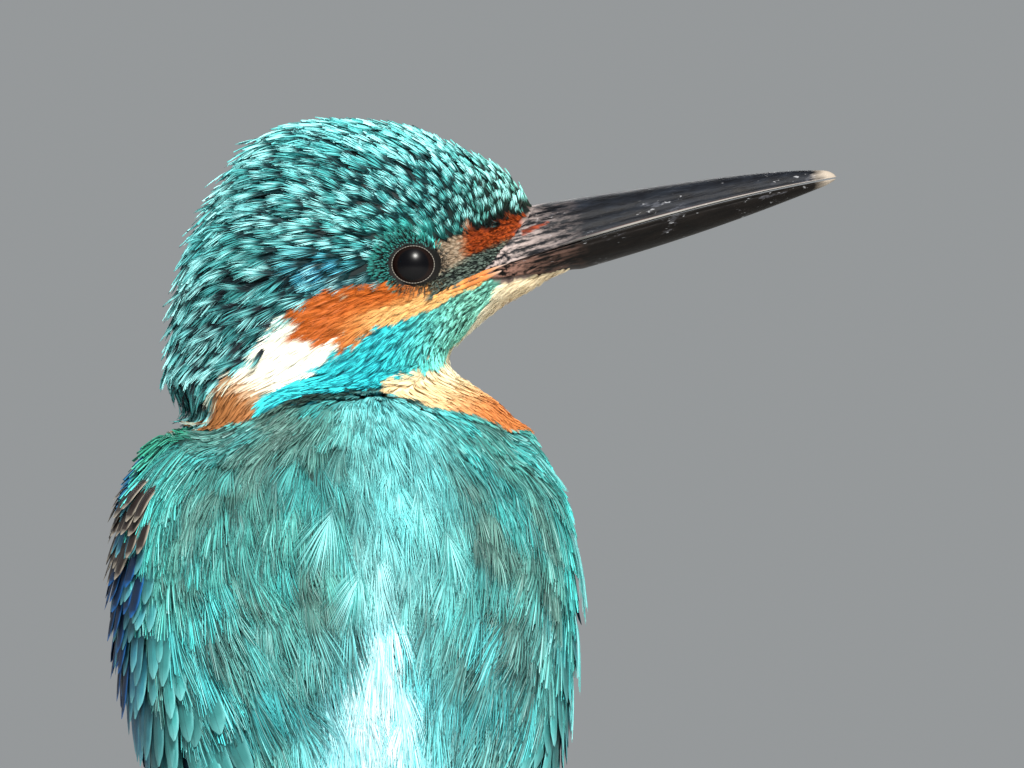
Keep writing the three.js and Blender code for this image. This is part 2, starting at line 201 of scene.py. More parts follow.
class Nodes:
    """A material and its node tree, which hands out nodes by kind."""

    def __init__(self, name: str) -> None:
        """Starts an empty material.

        Args:
            name: The material's name.
        """
        self.material = bpy.data.materials.new(name)
        self.material.use_nodes = True
        self.tree = self.material.node_tree
        self.tree.nodes.clear()

    def make(self, kind: str, settings: dict | None = None, sockets: dict | None = None,
             output: int | str = 0) -> Value:
        """Adds a node.

        Args:
            kind: The node's type.
            settings: Its properties.
            sockets: Numbers, colours or values for its inputs, by name or place.
            output: Which output to hand back.

        Returns:
            That output.
        """
        node = self.tree.nodes.new(kind)
        for key, setting in (settings or {}).items():
            setattr(node, key, setting)
        for key, value in (sockets or {}).items():
            if isinstance(value, Value):
                self.tree.links.new(value.socket, node.inputs[key])
            else:
                node.inputs[key].default_value = value
        return Value(self, node.outputs[output])

    def blend(self, share: Value | float, low: Value | tuple, high: Value | tuple,
              kind: str = "MIX") -> Value:
        """A colour between two others.

        Args:
            share: How far it is from low to high.
            low: A value, a display colour of three numbers or a linear one of four.
            high: Another.
            kind: How Blender mixes them.

        Returns:
            The colour.
        """
        low, high = (rgba(end) if isinstance(end, tuple) and len(end) == 3 else end for end in (low, high))
        settings = {"data_type": "RGBA", "blend_type": kind, "clamp_factor": True}
        return self.make("ShaderNodeMix", settings, {0: share, 6: low, 7: high}, 2)

    def ramp(self, share: Value, *stops: tuple[float, float]) -> Value:
        """A number that follows a few stops.

        Args:
            share: What it depends on, from 0 to 1.
            stops: Places and levels, in rising order of place.

        Returns:
            The number.
        """
        followed = self.make("ShaderNodeValToRGB", None, {0: share})
        elements = followed.socket.node.color_ramp.elements
        while len(elements) < len(stops):
            elements.new(1.0)
        for element, (position, level) in zip(elements, stops):
            element.position, element.color = position, (level, level, level, 1)
        return followed

    def object_place(self, centre: Sequence[float] = (0, 0, 0), turn: Sequence[float] = (0, 0, 0),
                     scale: Sequence[float] = (1, 1, 1)) -> Value:
        """Object coordinates, counted from a centre in metres, turned and then scaled."""
        place = self.make("ShaderNodeTexCoord", output="Object")
        moved = self.make("ShaderNodeVectorMath", {"operation": "SUBTRACT"}, {0: place, 1: tuple(centre)})
        return self.stretched(moved, scale, turn)

    def stretched(self, place: Value, scale: Sequence[float], turn: Sequence[float] = (0, 0, 0)) -> Value:
        """A place turned and then scaled."""
        sockets = {"Vector": place, "Rotation": tuple(turn), "Scale": tuple(scale)}
        return self.make("ShaderNodeMapping", None, sockets)

    def noise(self, place: Value, scale: float, detail: float = 3, roughness: float = 0.55) -> Value:
        """Noise of about 0 to 1 with a number of features to a metre."""
        sockets = {"Vector": place, "Scale": scale, "Detail": detail, "Roughness": roughness}
        return self.make("ShaderNodeTexNoise", None, sockets)

    def bump(self, height: Value, strength: float, distance: float) -> Value:
        """A normal that follows a height."""
        sockets = {"Height": height, "Strength": strength, "Distance": distance}
        return self.make("ShaderNodeBump", None, sockets)

    def attribute(self, name: str, output: str = "Color") -> Value:
        """One of the piece's own attributes."""
        return self.make("ShaderNodeAttribute", {"attribute_name": name}, None, output)

    def surface(self, sockets: dict) -> Material:
        """Ends the tree in one Principled shader.

        Args:
            sockets: Its inputs.

        Returns:
            The finished material.
        """
        shader = self.make("ShaderNodeBsdfPrincipled", None, sockets)
        end = self.tree.nodes.new("ShaderNodeOutputMaterial")
        self.tree.links.new(shader.socket, end.inputs["Surface"])
        return self.material


# ---- Finishes
@dataclass(frozen=True)
class FeatherFinish:
    """Barbs and vanes, coloured by the piece's Plumage attribute with fine variation."""

    name: str
    roughness: float = 0.58
    gloss: float = 0.16
    grain: float = 900.0  # features to a metre
    contrast: float = 0.2

    def build(self) -> Material:
        """Makes the material.

        Returns:
            The material.
        """
        nodes = Nodes(self.name)
        place = nodes.object_place()
        fine = nodes.noise(place, self.grain, 4, 0.65)
        broad = nodes.noise(place, self.grain / 9, 2)
        colour = nodes.attribute("Plumage")
        dark = nodes.blend(1.0, colour, (0.62, 0.64, 0.66, 1), "MULTIPLY")
        varied = nodes.blend((fine - 0.35) * (2 * self.contrast) + 0.35, dark, colour)
        shifted = nodes.blend(1.0, varied, (0.86, 1.04, 1.12, 1), "MULTIPLY")
        return nodes.surface({
            "Base Color": nodes.blend(broad, varied, shifted),
            "Roughness": fine * 0.3 + (self.roughness - 0.15),
            "Specular IOR Level": self.gloss,
        })


@dataclass(frozen=True)
class VaneFinish:
    """Closed vanes: a shaft down the middle, and slanting barbs that the Vane map's two directions give."""

    name: str
    barbs: float = 40.0  # to a vane's length
    slant: float = 0.42  # how far along the vane a barb goes, as a share of its length
    roughness: float = 0.5

    def build(self) -> Material:
        """Makes the material.

        Returns:
            The material.
        """
        nodes = Nodes(self.name)
        flat = nodes.make("ShaderNodeUVMap", {"uv_map": "Vane"})
        across = nodes.make("ShaderNodeSeparateXYZ", None, {0: flat})
        along = Value(nodes, across.socket.node.outputs["Y"])
        side = nodes.make("ShaderNodeMath", {"operation": "ABSOLUTE"}, {0: (across - 0.5) * 2})
        place = nodes.object_place()
        wander = nodes.noise(place, 500, 2) * 0.04
        phase = (along - side * self.slant + wander) * (self.barbs * math.tau)
        streak = nodes.make("ShaderNodeMath", {"operation": "SINE"}, {0: phase}) * 0.5 + 0.5
        shaft = nodes.ramp(side, (0.0, 1.0), (0.04, 0.7), (0.08, 0.0))
        fine = nodes.noise(place, 1300, 3)
        colour = nodes.attribute("Plumage")
        dark = nodes.blend(1.0, colour, (0.42, 0.46, 0.5, 1), "MULTIPLY")
        barbed = nodes.blend(streak * 0.6 + fine * 0.4, dark, colour)
        return nodes.surface({
            "Base Color": nodes.blend(shaft * 0.3, barbed, (20, 24, 28)),
            "Roughness": streak * 0.12 + self.roughness,
            "Normal": nodes.bump(streak + shaft, 0.25, 0.00006),
            "Specular IOR Level": 0.25,
        })


@dataclass(frozen=True)
class HornFinish:
    """The bill's horn: black with a slate bloom, pale scratches along it and a paler, pinkish base."""

    name: str
    tilt: float  # how far the bill points up
    base: Rgb  # where its base is, in metres
    length: float  # in metres
    under: bool = False

    def build(self) -> Material:
        """Makes the material.

        Returns:
            The material.
        """
        nodes = Nodes(self.name)
        shift = nodes.object_place(self.base, (0, self.tilt, 0))
        forward = nodes.make("ShaderNodeSeparateXYZ", None, {0: shift}) * (1 / self.length)
        streaks = nodes.noise(nodes.stretched(shift, (0.16, 1, 1)), 1500, 5, 0.7)
        flecks = nodes.noise(nodes.stretched(shift, (0.35, 1, 1)), 2600, 3)
        worn = nodes.noise(shift, 260, 3)
        dark, lit, bare = (6, 6, 8), (25, 29, 36), (158, 144, 140)
        if self.under:
            dark, lit, bare = (5, 4, 4), (17, 14, 12), (112, 84, 74)
        body = nodes.blend(nodes.ramp(streaks, (0.35, 0.0), (0.7, 1.0)), dark, lit)
        scratches = nodes.ramp(streaks * 0.55 + worn * 0.45, (0.6, 0.0), (0.7, 0.5))
        scratched = nodes.blend(scratches, body, (96, 98, 106))
        chips = nodes.ramp(flecks * 0.7 + worn * 0.3, (0.63, 0.0), (0.68, 0.6))
        chipped = nodes.blend(chips, scratched, (146, 148, 152))
        near = nodes.ramp(forward + (worn - 0.5) * 0.16, (0.08, 1.0), (0.17, 0.75), (0.32, 0.0))
        flaky = nodes.ramp(streaks * 0.7 + flecks * 0.3, (0.46, 0.0), (0.58, 1.0))
        based = nodes.blend(near * flaky * 0.85, chipped, bare)
        tip = nodes.ramp(forward + (streaks - 0.5) * 0.08, (0.955, 0.0), (0.995, 0.85))
        tipped = nodes.blend(tip, based, (150, 140, 128))
        return nodes.surface({
            "Base Color": nodes.blend(nodes.attribute("Marked", "Fac"), tipped, nodes.attribute("Plumage")),
            "Roughness": streaks * 0.25 + 0.36,
            "Normal": nodes.bump(streaks * 1.4 + flecks * 0.4, 0.45, 0.00016),
            "Specular IOR Level": 0.07,
        })


@dataclass(frozen=True)
class EyeFinish:
    """A wet, dark brown eye: black pupil, rayed iris and a darker rim."""

    name: str
    centre: tuple[float, float, float]
    pupil: float = 0.0019
    iris: float = 0.0029

    def build(self) -> Material:
        """Makes the material.

        Returns:
            The material.
        """
        nodes = Nodes(self.name)
        place = nodes.object_place(self.centre)
        flat = nodes.make("ShaderNodeVectorMath", {"operation": "MULTIPLY"}, {0: place, 1: (1, 0, 1)})
        out = nodes.make("ShaderNodeVectorMath", {"operation": "LENGTH"}, {0: flat}, "Value")
        rays = nodes.noise(nodes.make("ShaderNodeVectorMath", {"operation": "NORMALIZE"}, {0: flat}), 9, 4)
        share = out * (1 / self.iris)
        iris = nodes.blend(rays, (10, 6, 5), (20, 10, 8))
        rimmed = nodes.blend(nodes.ramp(share, (0.8, 0.0), (1.0, 1.0)), iris, (12, 8, 8))
        pupil = nodes.ramp(share, (self.pupil / self.iris - 0.03, 1.0), (self.pupil / self.iris + 0.03, 0.0))
        return nodes.surface({
            "Base Color": nodes.blend(pupil, rimmed, (4, 4, 6)),
            "Roughness": rays * 0.02 + 0.25,
            "Specular IOR Level": 0.1,
        })


@dataclass(frozen=True)
class ScaledFinish:
    """Scaly skin or rough horn: cells in two colours with darker joints."""

    name: str
    light: Rgb
    dark: Rgb
    cells: float = 1500.0
    roughness: float = 0.5
    relief: float = 0.00008

    def build(self) -> Material:
        """Makes the material.

        Returns:
            The material.
        """
        nodes = Nodes(self.name)
        place = nodes.object_place()
        cells = nodes.make("ShaderNodeTexVoronoi", {"feature": "DISTANCE_TO_EDGE"},
                           {"Vector": place, "Scale": self.cells}, "Distance")
        joint = nodes.ramp(cells, (0.0, 0.0), (0.16, 1.0))
        tone = nodes.noise(place, self.cells / 3, 4)
        return nodes.surface({
            "Base Color": nodes.blend(joint * (tone * 0.6 + 0.4), self.dark, self.light),
            "Roughness": tone * 0.2 + self.roughness,
            "Normal": nodes.bump(joint, 0.6, self.relief),
        })


@dataclass(frozen=True)
class WoodFinish:
    """Grain that runs along one axis: bark, or turned and waxed wood with rings about the axis."""

    name: str
    light: Rgb
    dark: Rgb
    axis_scale: tuple[float, float, float]
    turn: float = 0.0
    scale: float = 260.0
    roughness: float = 0.5
    relief: float = 0.0002
    wax: float = 0.0

    def build(self) -> Material:
        """Makes the material.

        Returns:
            The material.
        """
        nodes = Nodes(self.name)
        place = nodes.object_place((0, 0, 0), (0, 0, self.turn), self.axis_scale)
        grain = nodes.noise(place, self.scale, 7, 0.66)
        broad = nodes.noise(place, self.scale / 6, 3)
        pores = nodes.noise(place, self.scale * 5, 3)
        tone = grain * 0.6 + broad * 0.4
        body = nodes.blend(nodes.ramp(tone, (0.36, 0.0), (0.62, 1.0)), self.dark, self.light)
        return nodes.surface({
            "Base Color": nodes.blend(nodes.ramp(pores, (0.3, 0.55), (0.45, 0.0)), body, self.dark),
            "Roughness": grain * 0.25 + self.roughness,
            "Normal": nodes.bump(grain + pores * 0.3, 0.6, self.relief),
            "Coat Weight": self.wax,
            "Coat Roughness": 0.2,
        })


@dataclass(frozen=True)
class SteelFinish:
    """Satin steel, brushed round the rod."""

    name: str

    def build(self) -> Material:
        """Makes the material.

        Returns:
            The material.
        """
        nodes = Nodes(self.name)
        place = nodes.object_place(scale=(0.2, 0.2, 6))
        lines = nodes.noise(place, 900, 3)
        return nodes.surface({
            "Base Color": nodes.blend(lines, (150, 152, 156), (196, 197, 200)),
            "Roughness": lines * 0.2 + 0.22,
            "Metallic": 1.0,
            "Normal": nodes.bump(lines, 0.15, 0.00004),
        })


@dataclass(frozen=True)
class FloorFinish:
    """A plain pale floor with a very faint mottle."""

    name: str

    def build(self) -> Material:
        """Makes the material.

        Returns:
            The material.
        """
        nodes = Nodes(self.name)
        mottle = nodes.noise(nodes.object_place(), 14, 3)
        return nodes.surface({
            "Base Color": nodes.blend(mottle, (206, 206, 203), (214, 214, 212)),
            "Roughness": mottle * 0.1 + 0.7,
        })


# ---- Meshes
def show(name: str, mesh: Mesh, material: Material,
         replaced: Iterable[str] = ()) -> bpy.types.Object:
    """Puts a finished mesh in the scene as a piece of the bird or its stand.

    Args:
        name: The piece's name.
        mesh: Its mesh, in metres.
        material: Its finish.
        replaced: The nodes that the piece stands for.

    Returns:
        The piece.
    """
    piece = bpy.data.objects.new(name, mesh)
    bpy.context.scene.collection.objects.link(piece)
    mesh.materials.clear()
    mesh.materials.append(material)
    mesh.shade_smooth()
    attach(piece, BODY)
    if replaced:
        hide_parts(*replaced)
    LOG.info("%s: %d faces", name, len(mesh.polygons))
    return piece


def finished(shape: BMesh, name: str) -> Mesh:
    """Makes a mesh with its faces outwards.

    Args:
        shape: Its bmesh, in millimetres, which is freed.
        name: Its name.

    Returns:
        The mesh, in metres.
    """
    bmesh.ops.recalc_face_normals(shape, faces=shape.faces)
    bmesh.ops.scale(shape, vec=(MM, MM, MM), verts=shape.verts)
    mesh = bpy.data.meshes.new(name)
    shape.to_mesh(mesh)
    shape.free()
    return mesh


def copy_of(nodes: Frame, name: str) -> BMesh:
    """Copies a node's solid.

    Args:
        nodes: The solids.
        name: The node.

    Returns:
        A closed bmesh, in millimetres.
    """
    shape = bmesh.new()
    shape.from_mesh(nodes[name].data)
    bmesh.ops.scale(shape, vec=(1 / MM,) * 3, verts=shape.verts)
    bmesh.ops.remove_doubles(shape, verts=shape.verts, dist=0.01)
    bmesh.ops.recalc_face_normals(shape, faces=shape.faces)
    return shape


def joined(shapes: Iterable[BMesh], name: str) -> Mesh:
    """Joins several bmeshes.

    Args:
        shapes: The bmeshes, which are freed.
        name: The new mesh's name.

    Returns:
        One mesh, in the same unit.
    """
    whole = bmesh.new()
    for shape in shapes:
        part = bpy.data.meshes.new("part")
        shape.to_mesh(part)
        shape.free()
        whole.from_mesh(part)
        bpy.data.meshes.remove(part)
    mesh = bpy.data.meshes.new(name)
    whole.to_mesh(mesh)
    whole.free()
    return mesh


def smooth(shape: BMesh, vertices: Sequence[bmesh.types.BMVert]) -> None:
    """Smooths some of a bmesh's vertices once."""
    axes = {f"use_axis_{axis}": True for axis in "xyz"}
    bmesh.ops.smooth_vert(shape, verts=vertices, factor=0.5, **axes)


def close(shape: BMesh) -> None:
    """Fills a bmesh's open edges."""
    bmesh.ops.holes_fill(shape, edges=[edge for edge in shape.edges if edge.is_boundary])


def remeshed(mesh: Mesh, voxel: float, smoothing: int) -> BMesh:
    """One even, closed surface round everything in a mesh.

    Args:
        mesh: Closed shells that may overlap, in millimetres. It is used up.
        voxel: The size of the new faces.
        smoothing: How many times the surface is smoothed.

    Returns:
        The surface.
    """
    holder = bpy.data.objects.new("holder", mesh)
    bpy.context.scene.collection.objects.link(holder)
    modifier = holder.modifiers.new("even", "REMESH")
    modifier.mode, modifier.voxel_size = "VOXEL", voxel
    seen = holder.evaluated_get(bpy.context.evaluated_depsgraph_get())
    shape = bmesh.new()
    shape.from_mesh(seen.to_mesh())
    seen.to_mesh_clear()
    bpy.data.objects.remove(holder)
    bpy.data.meshes.remove(mesh)
    for _ in range(smoothing):
        smooth(shape, shape.verts)
    return shape


def places_of(shape: BMesh) -> tuple[Array, Array]:
    """Lists the vertices of a bmesh.

    Args:
        shape: The bmesh.

    Returns:
        Their places and their normals.
    """
    shape.normal_update()
    places = np.array([vertex.co[:] for vertex in shape.verts])
    normals = np.array([vertex.normal[:] for vertex in shape.verts])
    return places, normals


def move_to(shape: BMesh, places: Array) -> None:
    """Moves a bmesh's vertices to new places."""
    for vertex, place in zip(shape.verts, places):
        vertex.co = place


def swell(shape: BMesh, by: Array | float) -> None:
    """Moves a bmesh's surface out by one distance, or by one for each vertex."""
    places, normals = places_of(shape)
    move_to(shape, places + normals * np.reshape(by, (-1, 1)))


def add_colours(mesh: Mesh, colours: Array) -> None:
    """Gives a mesh its Plumage attribute.

    Args:
        mesh: The mesh.
        colours: One display colour of 0 to 255 to a vertex.
    """
    layer = mesh.color_attributes.new("Plumage", "FLOAT_COLOR", "POINT")
    flat = np.ones((len(colours), 4), np.float32)
    flat[:, :3] = linear(colours)
    layer.data.foreach_set("color", flat.ravel())


# ---- The bird's form
@dataclass
class Form:
    """The distance to the outside of the bird's plumage, on a grid of cells."""

    low: Array
    cell: float
    grid: Array  # the distance and its three slopes at each corner

    @classmethod
    def around(cls, shape: BMesh, cell: float, margin: float) -> Form:
        """Measures the space round a closed surface.

        Args:
            shape: The surface.
            cell: The size of the cells.
            margin: How far the grid reaches past the surface.

        Returns:
            The grid.
        """
        tree = BVHTree.FromBMesh(shape)
        places, _ = places_of(shape)
        low = places.min(0) - margin
        counts = np.ceil((places.max(0) + margin - low) / cell).astype(int) + 1
        axes = [low[i] + cell * np.arange(counts[i]) for i in range(3)]
        distance = np.empty(counts)
        for i, x in enumerate(axes[0]):
            for j, y in enumerate(axes[1]):
                for k, z in enumerate(axes[2]):
                    place = Vector((x, y, z))
                    near, normal, _, far = tree.find_nearest(place)
                    distance[i, j, k] = far if (place - near).dot(normal) > 0 else -far
        return cls(low, cell, np.stack([distance, *np.gradient(distance, cell)], -1).astype(np.float32))

    def at(self, places: Array) -> tuple[Array, Array]:
        """Measures places from the surface.

        Args:
            places: The places.

        Returns:
            The distance of each to the surface, less than 0 inside it, and the way out there.
        """
        flat = places.reshape(-1, 3)
        spot = (flat - self.low) / self.cell
        corner = np.clip(np.floor(spot).astype(int), 0, np.array(self.grid.shape[:3]) - 2)
        share = np.clip(spot - corner, 0, 1)
        total = np.zeros((len(flat), 4), np.float32)
        for offset in np.ndindex(2, 2, 2):
            weight = np.prod(np.where(offset, share, 1 - share), 1)
            a, b, c = (corner + offset).T
            total += weight[:, None].astype(np.float32) * self.grid[a, b, c]
        shape = places.shape[:-1]
        return total[:, 0].reshape(shape), unit(total[:, 1:]).reshape(*shape, 3)

    def settle(self, places: Array, height: Array | float, times: int = 1) -> tuple[Array, Array]:
        """Moves places straight to a height over the surface.

        Args:
            places: Where to start.
            height: How far over the surface to end.
            times: How often to step.

        Returns:
            The places, and the way out there.
        """
        for _ in range(times):
            distance, normal = self.at(places)
            places = places + normal * (height - distance)[..., None]
        return places, normal

    def slide(self, places: Array, side: float, height: Array | float, times: int = 5) -> Array:
        """Places moved straight across the head until they are at a height over the surface.

        Args:
            places: Where to start.
            side: -1 for the right of the head and 1 for the left.
            height: How far over the surface to end.
            times: How often to step.

        Returns:
            The places.
        """
        places, flattest = np.array(places, float), 0.35  # the least slope that a step counts with
        for _ in range(times):
            level, normal = self.at(places)
            places[..., 1] -= side * (level - height) / np.maximum(np.abs(normal[..., 1]), flattest)
        return places


# ---- Where the plumage changes
class Region(IntEnum):
    """The areas of the bird that differ in their feathers."""

    BARE = 0
    CROWN = 1
    LORES = 2
    EAR = 3
    NECK_PATCH = 4
    MALAR = 5
    THROAT = 6
    MANTLE = 7
    SCAPULARS = 8
    STRIPE = 9
    RUMP = 10
    BREAST = 11
    BELLY = 12
    COVERTS = 13
    UNDERTAIL = 14


SOFT = (Region.THROAT, Region.BREAST, Region.BELLY, Region.UNDERTAIL)

# Borders on the head, seen from the side: forward and up from the middle of the eye.
CROWN_EDGE = ((-26.5, -21), (-23.5, -15.4), (-20, -12), (-15, -7.2), (-12, -4.2), (-8, -2.4), (-3.6, -2.0),
              (0, -1.8), (2.2, -1.8), (2.9, 2.2), (6.5, 3.7), (13.3, 5.9), (15, 7.2))
EAR_EDGE = ((-15.5, -6), (-10, -8.6), (-3.4, -6.6), (0.9, -5), (3.5, -4.3), (10, -1.4))
MALAR_TOP = ((-16.8, -15.9), (-12, -13), (-8.9, -10.4), (-3.4, -6.8), (3.3, -4.7), (10, -2.4))
MALAR_BOTTOM = ((-16.8, -17), (-4, -15), (-1.6, -13.8), (3.3, -10.6), (7, -7.3), (10.6, -3))
GAPE = ((2.5, -3.9), (9.8, -0.7))
HORN_EDGE = ((-3, 11.2), (-0.7, 9), (3.7, 12.6), (7.3, 14.5), (9, 17))  # up, then forward
KEEL = ((9, -3.0), (13, -2.2), (16.3, -1.3), (18.5, -0.6), (20.6, 0.1), (21.2, -1.5))
# Borders on the body: degrees round from the middle of the back, and heights over the perch.
MANTLE_TOP = ((-100, 57), (-75, 57.5), (-55, 58), (-32, 59.8), (-5, 61.2), (8, 61.4), (20, 59.6), (38, 58.6),
              (59, 57.4), (80, 56.2), (100, 53))
WING_FRONT = ((0, 84), (14, 98), (28, 112), (40, 122), (50, 118), (57, 92))
SCAPULAR_EDGE = ((8, 26), (14, 30), (20, 42), (28, 58), (34, 72), (40, 84), (48, 94), (58, 102))
MANTLE_TURN = ((30, 0), (40, 9), (58, 9))  # degrees that the mantle is turned to the right, by height
STRIPE_HALF = ((10, 8.4), (15, 7.0), (22, 4.4), (28, 2.2), (33, 0))
STRIPE_MIDDLE = -1.2  # how far across the stripe's middle is
VENT_LINE = ((-22, -27.5), (-10, -22), (0, -17), (9, -10))  # y in the body's frame where rump and vent meet
# The way the crown's feathers point: degrees round the eye from the bill, then degrees from straight ahead.
CROWN_WAY = ((20, 115), (45, 126), (70, 140), (90, 150), (120, 158), (147, 168), (180, 193), (210, 220),
             (240, 242))


def is_head(place: Array) -> Array:
    """Whether each place is above the mantle's edge, or above the breast in front."""
    angle, height, _ = girdle(place)
    return height > line(MANTLE_TOP, angle)


@dataclass(frozen=True)
class Markings:
    """Where each area lies and what colours its feathers have, for skin and coat alike."""

    eye: Array  # the middle of the right eye
    lids: tuple[float, float] = (3.0, 2.5)  # half the length and height of the bare ring

    def face(self, place: Array) -> tuple[Array, Array]:
        """How far forward and up from the eye each place is."""
        return place[..., 0] - self.eye[0], place[..., 2] - self.eye[2]

    def depth(self, place: Array) -> Array:
        """Measures how deep under the outside of the coat the skin lies.

        Args:
            place: The places.

        Returns:
            The depth at each.
        """
        forward, up = self.face(place)
        _, height, _ = girdle(place)
        head = mix(0.42, 0.9, step(4, 20, np.hypot(forward - 8, up + 1)))
        head = head + 1.6 * step(1.0, 0.8, np.hypot(forward / 3.0, up / 2.6))
        return np.where(is_head(place), head, mix(1.2, 1.6, step(60, 40, height)))

    def on_eye(self, place: Array) -> Array:
        """Whether each place is on an eye or its bare ring."""
        forward, up = self.face(place)
        inside = (forward / self.lids[0]) ** 2 + (up / self.lids[1]) ** 2 < 1
        return inside & (np.abs(place[..., 1] - HEAD_PLANE) > 4)

    def regions(self, place: Array) -> Array:
        """Finds the region of each place. A later border overrules an earlier one.

        Args:
            place: The places.

        Returns:
            The regions' numbers.
        """
        forward, up = self.face(place)
        angle, height, across = girdle(place)
        found = np.full(place.shape[:-1], Region.THROAT)
        found[up > line(MALAR_BOTTOM, forward)] = Region.MALAR
        found[forward > 10.8] = Region.THROAT
        over_malar = up > line(MALAR_TOP, forward)
        found[over_malar & (forward < 4)] = Region.NECK_PATCH
        found[(forward < -17) & (up > -26)] = Region.NECK_PATCH
        found[over_malar & (forward > -7.5) & (forward < 4)] = Region.EAR
        found[(up > line(EAR_EDGE, forward)) & (forward > -12.6) & (forward < 11)] = Region.EAR
        found[(forward > 2.4) & ((forward < 12) | (up > 0.8)) & (up > line(GAPE, forward))] = Region.LORES
        found[up > line(CROWN_EDGE, forward)] = Region.CROWN
        bill = (forward > line(HORN_EDGE, up)) & (up > line(KEEL, forward)) & (up < 8.5)
        found[bill | self.on_eye(place)] = Region.BARE

        body = ~is_head(place)
        front = body & (np.abs(angle) >= line(WING_FRONT, height))
        back = body & ~front
        scapular = back & (np.abs(angle - line(MANTLE_TURN, height)) < line(SCAPULAR_EDGE, height))
        found[front & (height > 30)] = Region.BREAST
        found[front & (height <= 30)] = Region.BELLY
        found[back & (height > 11)] = Region.COVERTS
        found[scapular & (height > 9)] = Region.SCAPULARS
        found[scapular & (height > 38)] = Region.MANTLE
        behind = to_body(place)[..., 1] < line(VENT_LINE, height)
        found[body & (height <= 9) & ~behind] = Region.UNDERTAIL
        found[body & (height <= 9) & behind] = Region.RUMP
        stripe = np.abs(across - STRIPE_MIDDLE) < line(STRIPE_HALF, height)
        found[body & stripe & (np.abs(angle) < 60) & (height > 10) & (height < 34)] = Region.STRIPE
        return found

    def colours(self, place: Array, regions: Array) -> tuple[Array, Array]:
        """The display colours of the feathers at each place, with some painted shade and painted highlight in
        them.

        Args:
            place: The places.
            regions: The number of each one's region.

        Returns:
            The colour of the feathers' bases, and of their showing parts.
        """
        forward, up = self.face(place)
        angle, height, across = girdle(place)
        round_back = np.abs(angle)
        under = np.zeros((*place.shape[:-1], 3))
        over = np.zeros_like(under)

        def paint(region: Region, base: Array, shown: Array) -> None:
            """Sets both colours of a region."""
            where = (regions == region)[..., None]
            under[:] = np.where(where, base, under)
            over[:] = np.where(where, shown, over)

        def spot(x: float, z: float, wide: float, high: float) -> Array:
            """A soft patch on the side of the head."""
            return np.exp(-((forward - x) / wide) ** 2 - ((up - z) / high) ** 2)

        over_edge = up - line(CROWN_EDGE, forward)
        front = step(0, 14, forward)
        # The nape's darker colours, darkest low down, are partly its own duller plumage and partly painted
        # shade under the crown's overhang.
        nape = step(-8, -21, forward) * mix(0.3, 1.0, step(2, -8, up))
        near_eye = step(4.4, 3.3, np.hypot(forward, up * 1.15))
        base = shade(nape, shade(front, (10, 44, 46), (16, 30, 22)), (18, 24, 30))
        shown = shade(nape, shade(front, (108, 242, 236), (150, 242, 224)), (62, 172, 168))
        shown = shade(spot(-12.5, -1.2, 4.5, 2.6), shown, (44, 158, 206))
        brow = spot(-0.5, 4.5, 4.6, 1.3)
        base, shown = shade(brow * 0.8, base, (36, 140, 128)), shade(brow, shown, (74, 222, 206))
        slate = step(1.6, 0.4, over_edge) * step(-2, -5, forward) * step(-19, -14, forward)
        shown = shade(slate * 0.8, shown, (44, 74, 80))
        black = step(1.5, 0.7, over_edge) * step(-0.5, 2.5, forward) * step(16, 11, forward)
        shown = shade(black * 0.9, shade(near_eye * 0.7, shown, (70, 165, 150)), (10, 22, 20))
        paint(Region.CROWN, shade(np.maximum(near_eye, black), base, (6, 10, 9)), shown)

        rufous = step(5.2, 6.8, forward) * step(-0.9, -0.1, up - mix(1.5, 4.4, (forward - 6.3) / 7))
        buff = step(7.4, 6.2, forward) * step(-0.6, 0.4, up - mix(-1.3, 0.9, (forward - 2.9) / 3.6))
        base = shade(rufous, shade(buff, (12, 16, 15), (136, 112, 90)), (116, 42, 14))
        shown = shade(rufous, shade(buff, (106, 116, 104), (178, 152, 128)), (172, 70, 24))
        paint(Region.LORES, base, shown)

        by_edge = step(2.4, 0.6, up - line(EAR_EDGE, forward)) * step(-12, -3, forward)
        pale = np.maximum(step(-3, 4, forward), by_edge)
        shown = shade(pale, (190, 92, 30), (240, 182, 114))
        paint(Region.EAR, shade(pale, (146, 66, 22), (204, 132, 68)), shown)
        # The buff lower rear of the neck patch is its own colour, made darker as painted shadow cast by the
        # nape's feathers.
        buffy = step(-1.5, 4.5, -16 - up + 0.5 * (-17 - forward))
        shown = shade(buffy, (252, 242, 222), (164, 102, 56))
        paint(Region.NECK_PATCH, shade(buffy, (224, 210, 186), (98, 56, 26)), shown)
        rear = step(7, -5, forward)
        shown = shade(rear, (156, 232, 206), (66, 222, 226))
        paint(Region.MALAR, shade(rear, (76, 124, 108), (22, 112, 124)), shown)
        low = step(-9, -17, up)
        rust = step(1.5, 10, (forward - 3) * 0.8 - 14 - up)
        chin = step(6, 12, forward) * step(-12, -5, up)
        base = shade(low, shade(chin, (236, 214, 176), (214, 186, 148)), (226, 184, 130))
        cream = shade(low, shade(chin, (255, 243, 216), (240, 214, 176)), (246, 208, 156))
        paint(Region.THROAT, shade(rust, base, (176, 98, 48)), shade(rust, cream, (208, 122, 64)))

        deep = step(58, 44, height)
        vent, belly = step(10, 0, height), step(42, 16, height) * (0.6 + 0.8 * ripple(place, 14, 9))
        base = shade(belly, shade(deep, (176, 98, 48), (156, 78, 30)), (172, 96, 46))
        shown = shade(belly, shade(deep, (208, 122, 64), (208, 112, 48)), (226, 142, 74))
        paint(Region.BREAST, base, shown)
        paint(Region.BELLY, shade(vent, base, (176, 112, 62)), shade(vent, shown, (230, 164, 104)))
        paint(Region.UNDERTAIL, shade(vent, base, (148, 70, 28)), shade(vent, shown, (212, 118, 52)))
